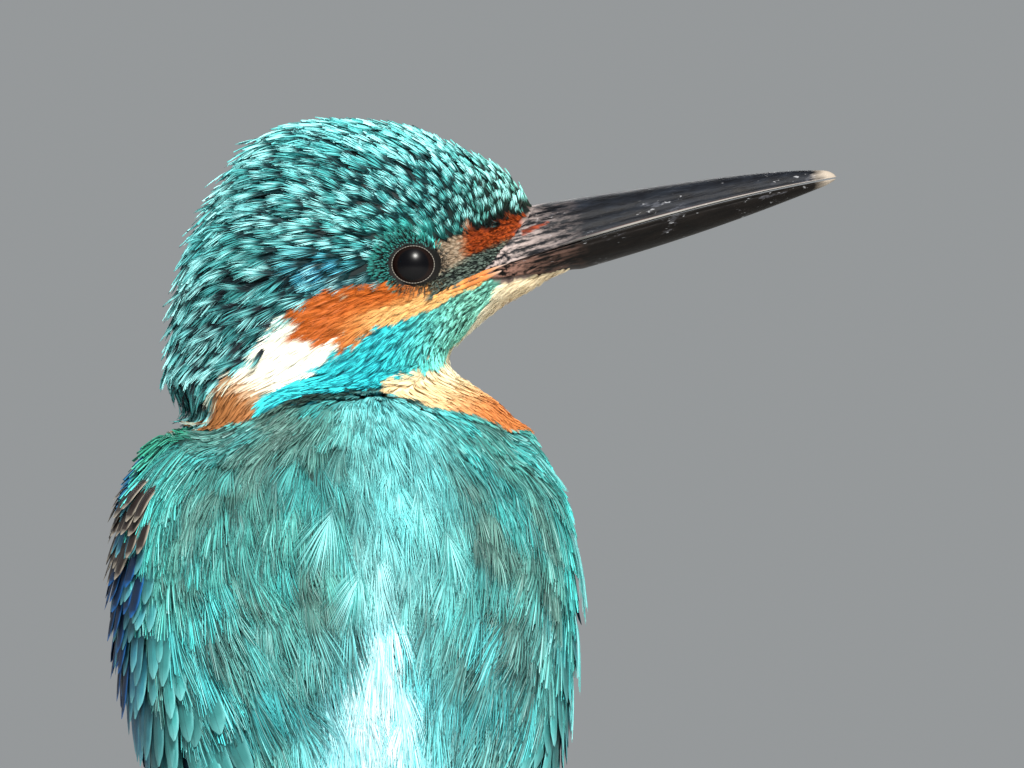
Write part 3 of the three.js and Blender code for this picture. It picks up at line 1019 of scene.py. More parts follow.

        # The pale band down the middle of the back is partly the plumage's own bright cyan and partly painted
        # highlight.
        bright = np.exp(-(np.abs(across - 2.2) / 7.6) ** 4) * step(24, 40, height)
        edge = np.exp(-((round_back - 76) / 15) ** 2) * step(22, 34, height) * step(56, 48, height)
        grey = np.exp(-((across + 13) / 8) ** 2) * step(42, 50, height)
        dull, vivid = ripple(place, 8, 3), step(0.45, 0.95, ripple(place, 9, 5))
        right = np.exp(-((across - 12.5) / 6.5) ** 2) * step(54, 47, height)
        # The whiter apex by the stripe is likewise partly painted highlight.
        apex = np.exp(-((across - STRIPE_MIDDLE) / 2.6) ** 2) * step(45, 35, height)
        dim = np.maximum(np.maximum(grey, right) * 0.8, step(0.5, 0.9, dull) * 0.7)
        shown = shade(dim, (88, 176, 166), (104, 132, 120))
        shown = shade(bright, shade(vivid * 0.6, shown, (64, 206, 206)), (140, 232, 230))
        shown = shade(apex * 0.7, shown, (206, 250, 250))
        tuft = step(-78, -88, angle) * step(49, 52, height)
        base = shade(tuft, shade(bright * 0.6, (26, 54, 50), (48, 120, 120)), (14, 52, 44))
        shown = shade(edge * 0.9, shade(tuft, shown, (66, 168, 136)), (84, 222, 212))
        # A dark line along the mantle's top edge: partly its feathers' own dark bases and partly painted
        # shadow under the head.
        rim = step(1.3, 0.3, line(MANTLE_TOP, angle) - height) * step(62, 48, round_back)
        paint(Region.MANTLE, shade(rim, base, (12, 16, 14)), shade(rim * 0.8, shown, (30, 48, 42)))
        off_middle = np.abs(across - STRIPE_MIDDLE)
        near_stripe = step(6.5, 0.5, off_middle - line(STRIPE_HALF, height)) * step(37, 29, height)
        shown = shade(np.maximum(dull * 0.5, right * 0.7), (88, 176, 170), (106, 138, 130))
        shown = shade(vivid * 0.55, shown, (60, 200, 208))
        # The pale middle band here is likewise partly painted highlight.
        shown = shade(bright, shade(near_stripe * 0.75, shown, (128, 224, 228)), (150, 240, 238))
        paint(Region.SCAPULARS, base, shade(edge * 0.9, shown, (84, 222, 212)))
        # The stripe's near-white core is partly its own pale cyan and partly painted highlight.
        core = step(4.5, 1.0, off_middle)
        shown = shade(core, (196, 242, 244), (244, 254, 254))
        shown = shade(step(27, 33.5, height) * 0.75, shown, (118, 218, 222))
        paint(Region.STRIPE, shade(core, (70, 176, 184), (110, 204, 206)), shown)
        tail = step(8, -14, height)
        shown = shade(tail, (130, 222, 238), (30, 128, 214))
        paint(Region.RUMP, shade(tail, (60, 160, 196), (14, 66, 138)), shown)
        outer = step(58, 92, round_back)
        shown = shade(outer, (64, 152, 150), (40, 104, 140))
        paint(Region.COVERTS, shade(outer, (22, 74, 78), (14, 44, 66)), shown)
        return under, over

    def skin_colours(self, place: Array) -> Array:
        """The colour of the skin and its down.

        Args:
            place: The places.

        Returns:
            Display colours: as dark as the feathers' bases, darker still under the crown as painted shade
                between its feathers, or paler under the soft parts.
        """
        regions = self.regions(place)
        under, over = self.colours(place, regions)
        share = np.where(np.isin(regions, (*SOFT, Region.NECK_PATCH, Region.EAR)), 0.9, 0.08)
        flaky = shade(ripple(place, 0.7, 19), (46, 36, 34), (150, 124, 114))
        flaky = flaky * mix(0.12, 1.0, step(4.0, 6.0, np.hypot(*self.face(place))))[..., None]
        # Under the crown the down is darkened further, to 0.4, as painted shade in the gaps between the
        # crown's feathers.
        down = shade(share, under, over) * np.where(regions == Region.CROWN, 0.4, 1.0)[..., None]
        return np.where((regions == Region.BARE)[..., None], flaky, down)


@dataclass(frozen=True)
class Lie:
    """The way that feathers point at each place."""

    markings: Markings

    def at(self, place: Array) -> Array:
        """The way along the coat, from root to tip.

        Args:
            place: The places.

        Returns:
            Unit vectors, not yet laid on the surface.
        """
        forward, up = self.markings.face(place)
        turn = np.degrees(np.arctan2(up, forward + 2))
        turn = np.where(turn < -90, turn + 360, turn)
        crown = line(CROWN_WAY, turn)
        below = step(-0.5, -3, up - line(MALAR_BOTTOM, forward)) * step(-8, -12, up) * step(-9, -4, forward)
        face = 192 + 30 * step(0, -14, up) + 55 * below
        on_crown = step(-0.7, 1.4, up - line(CROWN_EDGE, forward))
        way = np.radians(mix(face, crown, on_crown))
        head = np.stack([np.cos(way), np.zeros_like(way), np.sin(way)], -1)

        angle, height, _ = girdle(place)
        round_back = np.abs(angle)
        outward = 0.6 * step(46, 60, height) * np.clip(round_back / 40, 0, 1)
        inward = 0.42 * step(46, 34, height) * step(2, 14, height)
        inward = inward * step(3, 24, round_back) * step(80, 44, round_back)
        sideways = np.sign(angle) * (outward - inward)
        aim = np.radians(angle)
        level = np.stack([np.cos(aim), np.sin(aim), np.zeros_like(aim)], -1)
        flow = level * sideways[..., None] + np.array([0, 0, -1.0])
        shoulder = 6 * np.exp(-((angle + 85) / 25) ** 2)
        share = step(-3, 3, height - line(MANTLE_TOP, angle) - shoulder)
        return unit(mix(unit(turned(flow, BODY_YAW)), head, share[..., None]))


# ---- Feathers
class Barring(Enum):
    """How a feather's colours lie on it."""

    SPOTTED = "a bright spot before a dark tip"
    SILKY = "an even colour over a darker base"
    STREAKY = "barbs of several shades"
    SPECKLED = "light and dark barbs mixed"
    TIPPED = "a darker feather with a pale rim"


@dataclass(frozen=True)
class Pattern:
    """The barbs of one kind of feather, or its closed vane, laid flat."""

    barbs: int  # 0 for a closed vane
    girth: float = 0.09  # a barb's width, as a share of the feather's half-width
    start: float = 0.3  # the share of the shaft that barbs leave
    rounding: float = 0.3  # how much shorter the outer barbs are
    curve: float = 0.75  # 1 for barbs that fan out straight
    stations: int = 4
    rows: int = 9
    columns: int = 6
    point: float = 2.2  # how blunt a vane's tip is

    def build(self) -> dict[str, Array]:
        """Makes the feather once.

        Returns:
            For each of its vertices how far along it is, from 0 to 1, and across, from -1 to 1, its barb's
            number and its side of the barb, and the four corners of each face.
        """
        shape = bmesh.new()
        found: list[tuple[float, float, int, float]] = []
        if self.barbs:
            for number in range(self.barbs):
                self._add_barb(shape, number, found)
        else:
            self._add_vane(shape, found)
        shape.verts.index_update()
        faces = np.array([[vertex.index for vertex in face.verts] for face in shape.faces])
        shape.free()
        along, across, barb, side = np.array(found).T
        return {"along": along, "across": across, "barb": barb.astype(int), "side": side, "faces": faces}

    def _add_barb(self, shape: BMesh, number: int, found: list) -> None:
        """Adds one barb, which leaves the shaft and curves forward.

        Args:
            shape: The feather so far.
            number: The barb's number.
            found: What is known of its vertices, which grows.
        """
        lateral = 2 * (number + 0.5) / self.barbs - 1
        leaves = self.start * (1 - abs(lateral))
        ends = 1 - self.rounding * lateral * lateral
        made = bmesh.ops.create_grid(shape, x_segments=self.stations - 1, y_segments=1, size=0.5)
        for vertex in made["verts"]:
            share, side = vertex.co.x + 0.5, 2 * vertex.co.y
            bulge = 0.55 + 0.45 * math.sin(math.pi * min(1, share * 1.3))
            width = self.girth * bulge * (1 - 0.8 * share ** 3)
            across = lateral * share ** self.curve + side * width / 2
            found.append((mix(leaves, ends, share), across, number, side))

    def _add_vane(self, shape: BMesh, found: list) -> None:
        """Adds a vane with a narrow base and a rounded tip.

        Args:
            shape: The feather so far.
            found: What is known of its vertices, which grows.
        """
        made = bmesh.ops.create_grid(shape, x_segments=self.columns, y_segments=self.rows, size=0.5)
        for vertex in made["verts"]:
            across, share = 2 * vertex.co.x, vertex.co.y + 0.5
            along = share ** 0.9
            tip = max(0.0, (along - 0.6) / 0.4)
            width = (0.45 + 0.55 * float(step(0, 0.35, along))) * max(0.03, 1 - tip ** self.point) ** 0.5
            found.append((along, across * width, 0, across))


@dataclass(frozen=True)
class Tract:
    """A kind of feather and where it grows. Pairs of sizes hold by the face or shoulder, and far from it."""

    name: str
    regions: tuple[Region, ...] = ()
    spacing: tuple[float, float] = (1, 1)
    length: tuple[float, float] = (1, 1)
    half_width: tuple[float, float] = (1, 1)
    tip: float = 0.0  # its height over the outside of the bird; the root is in the skin
    pattern: Pattern = Pattern(barbs=0)
    barring: Barring = Barring.SILKY
    wander: float = 7.0  # degrees that a feather may turn
    stray: float = 0.06  # how far a barb may stray, as a share of the width
    lift: float = 0.2  # how much a tip's height varies
    roll: float = 0.4  # how much a barb may turn on its own length
    camber: float = 0.16  # how far a feather's edges hang under its shaft, as a share of the half-width
    slant: float = 0.0  # how far its outer edge stands over its shaft, as such a share
    only: Callable[[Array], Array] | None = None


@dataclass
class Growth:
    """Feathers as arrays, ready to be joined in one mesh."""

    places: Array
    colours: Array
    patch: Array
    flat: Array
    faces: Array


def unwrap(place: Array) -> Array:
    """Unwraps the bird's own skin, round its upright axis and up it to the crown.

    Args:
        place: The places.

    Returns:
        Each one's place on the unwrap, from 0 to 1.
    """
    body = to_body(place)
    x, y, z = body[..., 0], body[..., 1] - TRUNK_AXIS, body[..., 2]
    cap_height, cap_radius, lowest = 74.0, 19.0, -40.0
    cap = cap_radius * np.arctan2(z - cap_height, np.hypot(x, y))
    up = np.where(z > cap_height, cap_height + cap, z)
    whole = cap_height + cap_radius * math.pi / 2 - lowest
    return np.stack([np.arctan2(x, -y) / (2 * math.pi) + 0.5, (up - lowest) / whole], -1)


PATCH_SIZE = 0.003  # of a feather's own patch on that unwrap
AROUND = [(p, q, r) for p in (-1, 0, 1) for q in (-1, 0, 1) for r in (-1, 0, 1)]  # a cell and its neighbours


@dataclass
class Plumage:
    """Grows feathers over the bird's form."""

    form: Form
    markings: Markings
    lie: Lie
    faces: Array  # corners of the flesh's triangles, in millimetres
    rng: np.random.Generator
    rise: float = 0.7  # less than 1 for feathers that leave the skin steeply and then lie flat
    covered: float = 0.9  # how deep under the outside nothing grows, because quills lie there
    tries: int = 8  # roots tried for each that there is room for
    stops: int = 6  # points to a shaft

    def size_at(self, place: Array) -> Array:
        """Measures how far each place is from the face or shoulder.

        Args:
            place: The places.

        Returns:
            Shares from 0 to 1.
        """
        forward, up = self.markings.face(place)
        _, height, _ = girdle(place)
        head = step(5, 30, np.hypot(forward - 12, up - 2))
        body = step(60, 18, height)
        return np.where(is_head(place), head, body)

    def scatter(self, tract: Tract) -> Array:
        """Picks the roots of a tract's feathers.

        Args:
            tract: The kind of feather.

        Returns:
            Its roots, each at least the spacing from the next.
        """
        edge_a, edge_b = self.faces[:, 1] - self.faces[:, 0], self.faces[:, 2] - self.faces[:, 0]
        middles = self.faces.mean(1)
        wanted = np.isin(self.markings.regions(middles), tract.regions)
        wanted &= self.form.at(middles)[0] > -self.covered
        if tract.only is not None:
            wanted &= tract.only(middles)
        areas = np.linalg.norm(np.cross(edge_a, edge_b), axis=1) / 2 * wanted
        count = int(self.tries * areas.sum() / min(tract.spacing) ** 2)
        if count == 0:
            return np.zeros((0, 3))
        picked = self.rng.choice(len(areas), count, p=areas / areas.sum())
        a, b = self.rng.random((2, count, 1))
        over = a + b > 1
        a, b = np.where(over, 1 - a, a), np.where(over, 1 - b, b)
        places = self.faces[picked, 0] + a * edge_a[picked] + b * edge_b[picked]
        gaps = mix(*tract.spacing, self.size_at(places))
        cell = max(tract.spacing)
        kept: dict[tuple[int, int, int], list[tuple[float, float, float]]] = {}
        chosen = []
        for index, (place, gap) in enumerate(zip(places.tolist(), gaps.tolist())):
            i, j, k = (int(value // cell) for value in place)
            near = (kept.get((i + p, j + q, k + r), ()) for p, q, r in AROUND)
            if all(math.dist(place, other) >= gap for group in near for other in group):
                kept.setdefault((i, j, k), []).append(tuple(place))
                chosen.append(index)
        return places[chosen]

    def spines(self, tract: Tract, roots: Array) -> tuple[Array, Array, Array]:
        """Follows the lie of the coat from each root.

        Args:
            tract: The kind of feather.
            roots: Where they grow.

        Returns:
            Points along each shaft, the way out and the way to the right at each.
        """
        size = self.size_at(roots)
        length = mix(*tract.length, size) * self.rng.uniform(0.88, 1.12, len(roots))
        around, height, _ = girdle(roots)
        room = np.maximum(height - line(MANTLE_TOP, around), 0) + np.where(roots[:, 0] < -14, 3.0, 2.4)
        behind = is_head(roots) & (np.abs(around) < 96)
        length = np.where(behind, np.minimum(length, room), length)
        turn = np.radians(self.rng.normal(0, tract.wander, len(roots)))[:, None]
        deep = -self.markings.depth(roots)
        place, normal = self.form.settle(roots, deep, 2)
        off = np.clip((self.lie.at(place) * normal).sum(-1), 0, 1)
        tips = tract.tip + self.rng.normal(0, tract.lift, len(roots)) + np.clip(0.25 * length * off, 0, 0.7)
        shaft, outs, rights = [], [], []
        for stop in range(self.stops):
            way = self.lie.at(place)
            way = unit(way - normal * (way * normal).sum(-1, keepdims=True))
            right = np.cross(way, normal)
            way = way * np.cos(turn) + right * np.sin(turn)
            shaft.append(place)
            outs.append(normal)
            rights.append(np.cross(way, normal))
            share = (stop + 1) / (self.stops - 1)
            ahead = place + way * (length / (self.stops - 1))[:, None]
            place, normal = self.form.settle(ahead, mix(deep, tips, min(1.0, share) ** self.rise))
        return np.stack(shaft, 1), np.stack(outs, 1), np.stack(rights, 1)

    def dress(self, tract: Tract, shaft: Array, outs: Array, rights: Array, half_width: Array) -> Growth:
        """Lays the tract's pattern along each shaft.

        Args:
            tract: The kind of feather.
            shaft: Points along each shaft.
            outs: The way out at each.
            rights: The way to the right at each.
            half_width: Half of each feather's width.

        Returns:
            The feathers.
        """
        flat = tract.pattern.build()
        feathers, stops = shaft.shape[:2]
        barbs, barb = max(1, tract.pattern.barbs), flat["barb"]
        stray, shorter, roll = 0.0, 1.0, 0.0
        if tract.pattern.barbs:
            stray = self.rng.normal(0, tract.stray, (feathers, barbs))[:, barb]
            shorter = self.rng.uniform(0.84, 1.0, (feathers, barbs))[:, barb]
            roll = self.rng.normal(0, tract.roll, (feathers, barbs))[:, barb]
        every = np.ones((feathers, 1))
        along = np.clip(flat["along"] * shorter * every, 0, 1)
        across = flat["across"] * every + stray * flat["along"]
        spot = along * (stops - 1)
        before = np.clip(np.floor(spot).astype(int), 0, stops - 2)
        share = (spot - before)[..., None]
        rows = np.arange(feathers)[:, None]

        def at(values: Array) -> Array:
            """Values of the shaft at each vertex."""
            return mix(values[rows, before], values[rows, before + 1], share)

        out, right = unit(at(outs)), unit(at(rights))
        half_width = half_width[:, None]
        tilt = roll * (tract.pattern.girth * half_width) * flat["side"]
        camber = half_width * (tract.slant * across - tract.camber * across ** 2)
        centre = at(shaft)
        level, _ = self.form.at(centre)
        places, _ = self.form.settle(centre + right * (across * half_width)[..., None], level + camber)
        places = places + out * tilt[..., None]
        home, first = shaft[:, stops - 2], tract.regions[0] if tract.regions else Region.BARE
        regions = self.markings.regions(shaft[:, 0]) if tract.pattern.barbs else np.full(feathers, first)
        base, shown = self.markings.colours(home, self._near(home, regions, first))
        colours = self._tint(tract, base[:, None], shown[:, None], flat, along)
        corner = unwrap(shaft[:, 0])[:, None] - PATCH_SIZE / 2
        inside = np.stack([flat["across"] * 0.5 + 0.5, flat["along"]], -1)
        patch = np.clip(corner, 0, 1 - PATCH_SIZE) + inside * PATCH_SIZE
        vane = np.broadcast_to(inside, (feathers, *inside.shape))
        offsets = np.arange(feathers)[:, None, None] * len(barb)
        flats = (places, 3), (colours, 3), (patch, 2), (vane, 2), (flat["faces"] + offsets, 4)
        return Growth(*(values.reshape(-1, width) for values, width in flats))

    def fit(self, tract: Tract, shaft: Array, outs: Array, half_width: Array,
            side: Array | float = 1.0) -> Growth:
        """Feathers along shafts that are already placed, the other way round where side is -1."""
        rights = unit(np.cross(unit(np.gradient(shaft, axis=1)), outs)) * side
        return self.dress(tract, shaft, outs, rights, half_width)

    def _near(self, home: Array, regions: Array, first: int) -> Array:
        """Picks the regions whose colours feathers take.

        Args:
            home: A place near each feather's tip.
            regions: The region of each root.
            first: The region for roots on bare skin.

        Returns:
            The root's region, or the tip's within the soft parts below or at the stripe.
        """
        there = self.markings.regions(home)
        regions = np.where(regions == Region.BARE, first, regions)
        back = (Region.MANTLE, Region.SCAPULARS, Region.RUMP, Region.STRIPE)
        to_soft = np.isin(regions, SOFT) & np.isin(there, SOFT)
        to_stripe = np.isin(regions, back) & (there == Region.STRIPE)
        return np.where(to_soft | to_stripe, there, regions)

    def _tint(self, tract: Tract, base: Array, shown: Array, flat: dict[str, Array], along: Array) -> Array:
        """The colour of every vertex of every feather.

        Args:
            tract: The kind of feather.
            base: Each feather's colour at its base.
            shown: Each feather's colour where it shows.
            flat: The flat feather.
            along: How far along each vertex is.

        Returns:
            Display colours.
        """
        feathers = len(base)
        barb = self.rng.random((feathers, max(1, tract.pattern.barbs)))[:, flat["barb"]]
        own = self.rng.random((feathers, 1))
        side = np.abs(flat["across"]) * np.ones((feathers, 1))
        kind = tract.barring
        if kind is Barring.SPOTTED:
            spot = step(0.44, 0.58, along) * step(1.04, 0.92, along) * step(1.05, 0.75, side)
            spot = spot * mix(0.78, 1.04, own) * np.where(barb < 0.14, 0.15, mix(0.8, 1.0, barb))
            return shade(step(0.66, 0.95, spot) * 0.75, shade(spot, base, shown), (206, 255, 252))
        if kind is Barring.SILKY:
            share = step(-0.3, 0.4, along) * np.where(barb < 0.08, 0.6, mix(0.88, 1.0, barb))
            return shade(share, base, shown)
        if kind is Barring.SPECKLED:
            share = step(0.2, 0.5, along) * np.where(barb < 0.38, 0.12, mix(0.7, 1.1, barb))
            return shade(share, base, shown)
        if kind is Barring.STREAKY:
            share = np.where(barb < 0.2, 0.25, np.where(barb < 0.4, 0.68, 0.97)) * mix(0.6, 1.0, along)
            colour = shade(share, base, shown * mix(0.78, 1.16, own)[..., None])
            grey = (barb > 0.2) & (barb < 0.3)
            colour = np.where(grey[..., None], shade(0.3, colour, (146, 148, 142)), colour)
            rim = step(0.5, 0.95, side) * step(0.25, 0.8, along) * step(0.3, 0.8, own) * step(0.1, 0.3, barb)
            colour = shade(0.6 * rim, colour, (92, 226, 222))
            whitened = shade(0.45 * step(0.3, 0.9, along), colour, (214, 244, 240))
            return np.where((barb > 0.91)[..., None], whitened, colour)
        rim = np.maximum(step(0.8, 0.97, along), step(0.78, 0.98, side) * step(0.35, 0.7, along))
        colour = shade(step(0.1, 0.8, along), base, shown * mix(0.66, 1.08, own)[..., None])
        return shade(rim * mix(0.3, 0.8, own), colour, (142, 222, 222))

    def grow(self, tract: Tract, roots: Array | None = None) -> Growth:
        """Grows the feathers of a tract.

        Args:
            tract: The kind of feather.
            roots: Where they grow, if not all over its regions.

        Returns:
            The feathers, but for any whose shaft would cross an eye.
        """
        roots = self.scatter(tract) if roots is None else roots
        shaft, outs, rights = self.spines(tract, roots)
        clear = ~self.markings.on_eye(shaft).any(1)
        roots, shaft, outs, rights = roots[clear], shaft[clear], outs[clear], rights[clear]
        half_width = mix(*tract.half_width, self.size_at(roots)) * self.rng.uniform(0.88, 1.12, len(roots))
        growth = self.dress(tract, shaft, outs, rights, half_width)
        LOG.info("  %s: %d feathers, %d triangles", tract.name, len(roots), 2 * len(growth.faces))
        return growth


def feather_mesh(name: str, growths: Sequence[Growth]) -> Mesh:
    """One mesh of several growths, with its Plumage colours, its OFBake map and the Vane map.

    Args:
        name: The mesh's name.
        growths: The feathers.

    Returns:
        The mesh, in metres.
    """
    offsets = np.cumsum([0] + [len(growth.places) for growth in growths])
    places = np.concatenate([growth.places for growth in growths]) * MM
    faces = np.concatenate([growth.faces + offset for growth, offset in zip(growths, offsets)])
    mesh = bpy.data.meshes.new(name)
    mesh.vertices.add(len(places))
    mesh.vertices.foreach_set("co", places.astype(np.float32).ravel())
    mesh.loops.add(faces.size)
    mesh.loops.foreach_set("vertex_index", faces.astype(np.int32).ravel())
    mesh.polygons.add(len(faces))
    mesh.polygons.foreach_set("loop_start", np.arange(0, faces.size, 4, dtype=np.int32))
    mesh.update(calc_edges=True)
    maps = {"OFBake": [growth.patch for growth in growths], "Vane": [growth.flat for growth in growths]}
    for layer, values in maps.items():
        flat = np.concatenate(values)[faces.ravel()]
        mesh.uv_layers.new(name=layer).data.foreach_set("uv", flat.astype(np.float32).ravel())
    add_colours(mesh, np.concatenate([growth.colours for growth in growths]))
    return mesh


# ---- Skin
def sheet(rows: int, columns: int, place: Callable[[Array, Array], Array], around: bool = False,
          capped: bool = False) -> BMesh:
    """A grid bent to a shape.

    Args:
        rows: Faces along it.
        columns: Faces across or around it.
        place: The points for shares around and along.
        around: Whether its sides meet.
        capped: Whether its ends are closed.

    Returns:
        The shape, in millimetres.
    """
    shape = bmesh.new()
    bmesh.ops.create_grid(shape, x_segments=columns, y_segments=rows, size=0.5)
    shares = np.array([vertex.co[:2] for vertex in shape.verts]) + 0.5
    move_to(shape, place(shares[:, 0], shares[:, 1]))
    if around:
        bmesh.ops.remove_doubles(shape, verts=shape.verts, dist=1e-4)
    if capped:
        close(shape)
    return shape


def tube(points: Array, radii: Array, rows: int, columns: int) -> BMesh:
    """A round tube, closed at its ends.

    Args:
        points: A few points along it.
        radii: The radius at each.
        rows: Faces along it.
        columns: Faces round it.

    Returns:
        The tube.
    """
    known = np.linspace(0, 1, len(points))

    def middle(share: Array) -> Array:
        """Points on the tube's axis."""
        return np.stack([np.interp(share, known, points[:, i]) for i in range(3)], -1)

    def place(turn: Array, share: Array) -> Array:
        """Points on the tube, for shares round it and along it."""
        way = unit(middle(share + 0.02) - middle(share - 0.02))
        side = unit(np.cross(way, np.array([0.3, 0.2, 1.0])))
        angle = turn[:, None] * math.tau
        radius = np.interp(share, known, radii)[:, None]
        return middle(share) + radius * (side * np.cos(angle) + np.cross(side, way) * np.sin(angle))

    return sheet(rows, columns, place, around=True, capped=True)


@dataclass
class Skin:
    """One surface in place of head, neck, trunk and the fleshy part of the wings, with lids and gape."""

    nodes: Frame
    flesh: tuple[str, ...] = ("head", "neck", "trunk", "wing_coverts_left", "wing_coverts_right")
    eyes: tuple[str, ...] = ("eye_left", "eye_right")
    quills: tuple[str, ...] = ("wing_quills_left", "wing_quills_right", "tail")
    bill: tuple[str, ...] = ("bill_upper", "bill_lower")
    swell: float = 0.45  # closes the gaps between the solids while they are made one
    voxel: float = 0.8
    stub: float = 29.0  # how far along X the skin runs into the bill
    evening: int = 40  # times that the lowered skin is smoothed
    least: float = 0.6  # the share of the coat's depth that smoothing has to leave
    half: tuple[float, float] = (2.5, 2.2)  # half the length and height of the lids' opening
    beads: int = 46  # to a pale rim

    def _swollen(self, name: str) -> BMesh:
        """Swells a node's solid, and cuts it off where the bill leaves the skin.

        Args:
            name: The node.

        Returns:
            The solid.
        """
        shape = copy_of(self.nodes, name)
        if name in self.bill:
            geometry = [*shape.verts, *shape.edges, *shape.faces]
            bmesh.ops.bisect_plane(shape, geom=geometry, plane_co=(self.stub, 0, 0), plane_no=(1, 0, 0),
                                   clear_outer=True)
            close(shape)
        swell(shape, self.swell)
        return shape

    def outside(self, names: Iterable[str]) -> BMesh:
        """Makes the outside of several nodes one surface.

        Args:
            names: The nodes.

        Returns:
            The surface.
        """
        shape = remeshed(joined((self._swollen(name) for name in names), "outside"), self.voxel, smoothing=3)
        swell(shape, -self.swell)
        return shape

    def lid(self, form: Form, eye: Array, radius: float, side: float) -> tuple[BMesh, Array]:
        """The ring of lid skin round one eye: a beaded pale rim, then dark skin down to the head.

        Args:
            form: The bird's form.
            eye: The middle of the eyeball.
            radius: The eyeball's radius.
            side: -1 for the right eye and 1 for the left.

        Returns:
            The ring and its colours.
        """
        half = np.array(self.half)

        def place(turn: Array, share: Array) -> Array:
            """Points on the ring, for shares round it and outwards."""
            angle = turn * math.tau
            reach = mix(1.0, 1.42, share ** 1.3)
            x, z = half[0] * reach * np.cos(angle), half[1] * reach * np.sin(angle)
            ball = np.sqrt(np.maximum((radius + 0.05) ** 2 - x ** 2 - z ** 2, 0.04))
            start = np.stack([eye[0] + x, np.full_like(x, HEAD_PLANE + side * 12), eye[2] + z], -1)
            flesh = (form.slide(start, side, -0.4)[:, 1] - eye[1]) * side
            bead = 1 + 0.4 * np.sin(self.beads * angle)
            rim = 0.08 * bead * np.exp(-((reach - 1.035) / 0.018) ** 2) - 0.1 * step(1.015, 1.0, reach)
            out = np.maximum(ball, flesh) + rim - 0.5 * step(0.8, 1.0, share)
            start[:, 1] = eye[1] + side * out
            return start

        shape = sheet(rows=22, columns=184, place=place, around=True)
        places, _ = places_of(shape)
        x, z = (places[:, 0] - eye[0]) / half[0], (places[:, 2] - eye[2]) / half[1]
        beaded = 0.6 + 0.3 * np.sin(self.beads * np.arctan2(z, x))
        rim = np.exp(-((np.hypot(x, z) - 1.03) / 0.018) ** 2) * beaded
        return shape, shade(rim, (12, 11, 10), (204, 188, 172))

    def gape(self, form: Form, eye: Array, side: float) -> tuple[BMesh, Array]:
        """The two orange lips of the gape behind the bill, with a dark line between them.

        Args:
            form: The bird's form.
            eye: The middle of the eyeball.
            side: -1 for the right of the head and 1 for the left.

        Returns:
            The lips and their colours.
        """
        shapes, colours = [], []
        share = np.linspace(0, 1, 9)
        opening = step(0, 0.5, share)
        for drop, radius in ((-0.3, 0.3), (0.32, 0.36)):
            forward = mix(GAPE[0][0] - 0.2, GAPE[1][0] + 2.4, share)
            up = mix(GAPE[0][1] - 0.1, GAPE[1][1] + 1.0, share) - drop * mix(0.35, 1.0, opening)
            rough = np.stack([eye[0] + forward, np.full_like(share, HEAD_PLANE + side * 9), eye[2] + up], -1)
            rough = form.slide(rough, side, -0.26)
            radii = radius * mix(0.35, 1.0, opening) * mix(1.0, 0.25, step(0.6, 1, share))
            shape = tube(rough, radii, rows=48, columns=12)
            places, _ = places_of(shape)
            forward = places[:, 0] - eye[0]
            orange = shade(step(9, 2, forward), (206, 112, 52), (240, 162, 90))
            streaked = orange * mix(0.8, 1.0, ripple(places, 1.6, 11)[:, None])
            colours.append(shade(step(8, 11.5, forward), streaked, (176, 150, 138)))
            shapes.append(shape)
        mesh = joined(shapes, "gape")
        shape = bmesh.new()
        shape.from_mesh(mesh)
        bpy.data.meshes.remove(mesh)
        return shape, np.concatenate(colours)

    def build(self, outside: BMesh, form: Form, markings: Markings, radius: float) -> None:
        """Puts the skin in the scene.

        Args:
            outside: The outside of the bird, which is lowered by the coat's depth. It is used up.
            form: The bird's form.
            markings: Its markings.
            radius: The radius of its eyes.
        """
        places, _ = places_of(outside)
        depth = markings.depth(places)
        swell(outside, -depth)
        proud = np.ones(len(depth), bool)
        for turn in range(self.evening):  # the whole skin first, and then what still stands near the outside
            smooth(outside, [vertex for vertex, wanted in zip(outside.verts, proud) if wanted])
            if turn > 0:
                proud = form.at(places_of(outside)[0])[0] > -self.least * depth
        shapes, colours = [outside], [markings.skin_colours(places)]
        for side in (-1, 1):
            centre = markings.eye.copy()
            centre[1] = HEAD_PLANE + side * (HEAD_PLANE - markings.eye[1])
            for shape, shown in (self.lid(form, centre, radius, side), self.gape(form, centre, side)):
                bmesh.ops.recalc_face_normals(shape, faces=shape.faces)
                is_open = any(edge.is_boundary for edge in shape.edges)
                if is_open and sum(face.normal.y for face in shape.faces) * side < 0:
                    bmesh.ops.reverse_faces(shape, faces=shape.faces)
                shapes.append(shape)
                colours.append(shown)
        mesh = joined(shapes, "bird_skin")
        mesh.transform(Matrix.Scale(MM, 4))
        add_colours(mesh, np.concatenate(colours))
        finish = FeatherFinish("down_and_skin", roughness=0.62, grain=1600.0, contrast=0.5)
        show("bird_skin", mesh, finish.build(), self.flesh)


# ---- Coat
CROWN_BARBS = Pattern(barbs=17, girth=0.12, start=0.35, rounding=0.32)
FACE_BARBS = Pattern(barbs=7, girth=0.26, start=0.2, rounding=0.3, stations=3)
SILK_BARBS = Pattern(barbs=17, girth=0.14, start=0.3, rounding=0.35)
SMOOTH_BARBS = Pattern(barbs=13, girth=0.22, start=0.3, rounding=0.35)
CONTOUR_BARBS = Pattern(barbs=52, girth=0.034, start=0.5, rounding=0.3, curve=0.66)
FAN_BARBS = Pattern(barbs=60, girth=0.02, start=0.36, rounding=0.3, curve=0.85)
STRIPE_BARBS = Pattern(barbs=20, girth=0.1, start=0.4, rounding=0.35)
BELLY_BARBS = Pattern(barbs=18, girth=0.12, start=0.3, rounding=0.35, stations=3)
COVERT_VANE = Pattern(barbs=0, rows=8, columns=6, point=3.0)
QUILL_VANE = Pattern(barbs=0, rows=20, columns=6, point=3.6)
TAIL_VANE = Pattern(barbs=0, rows=22, columns=6, point=6.0)


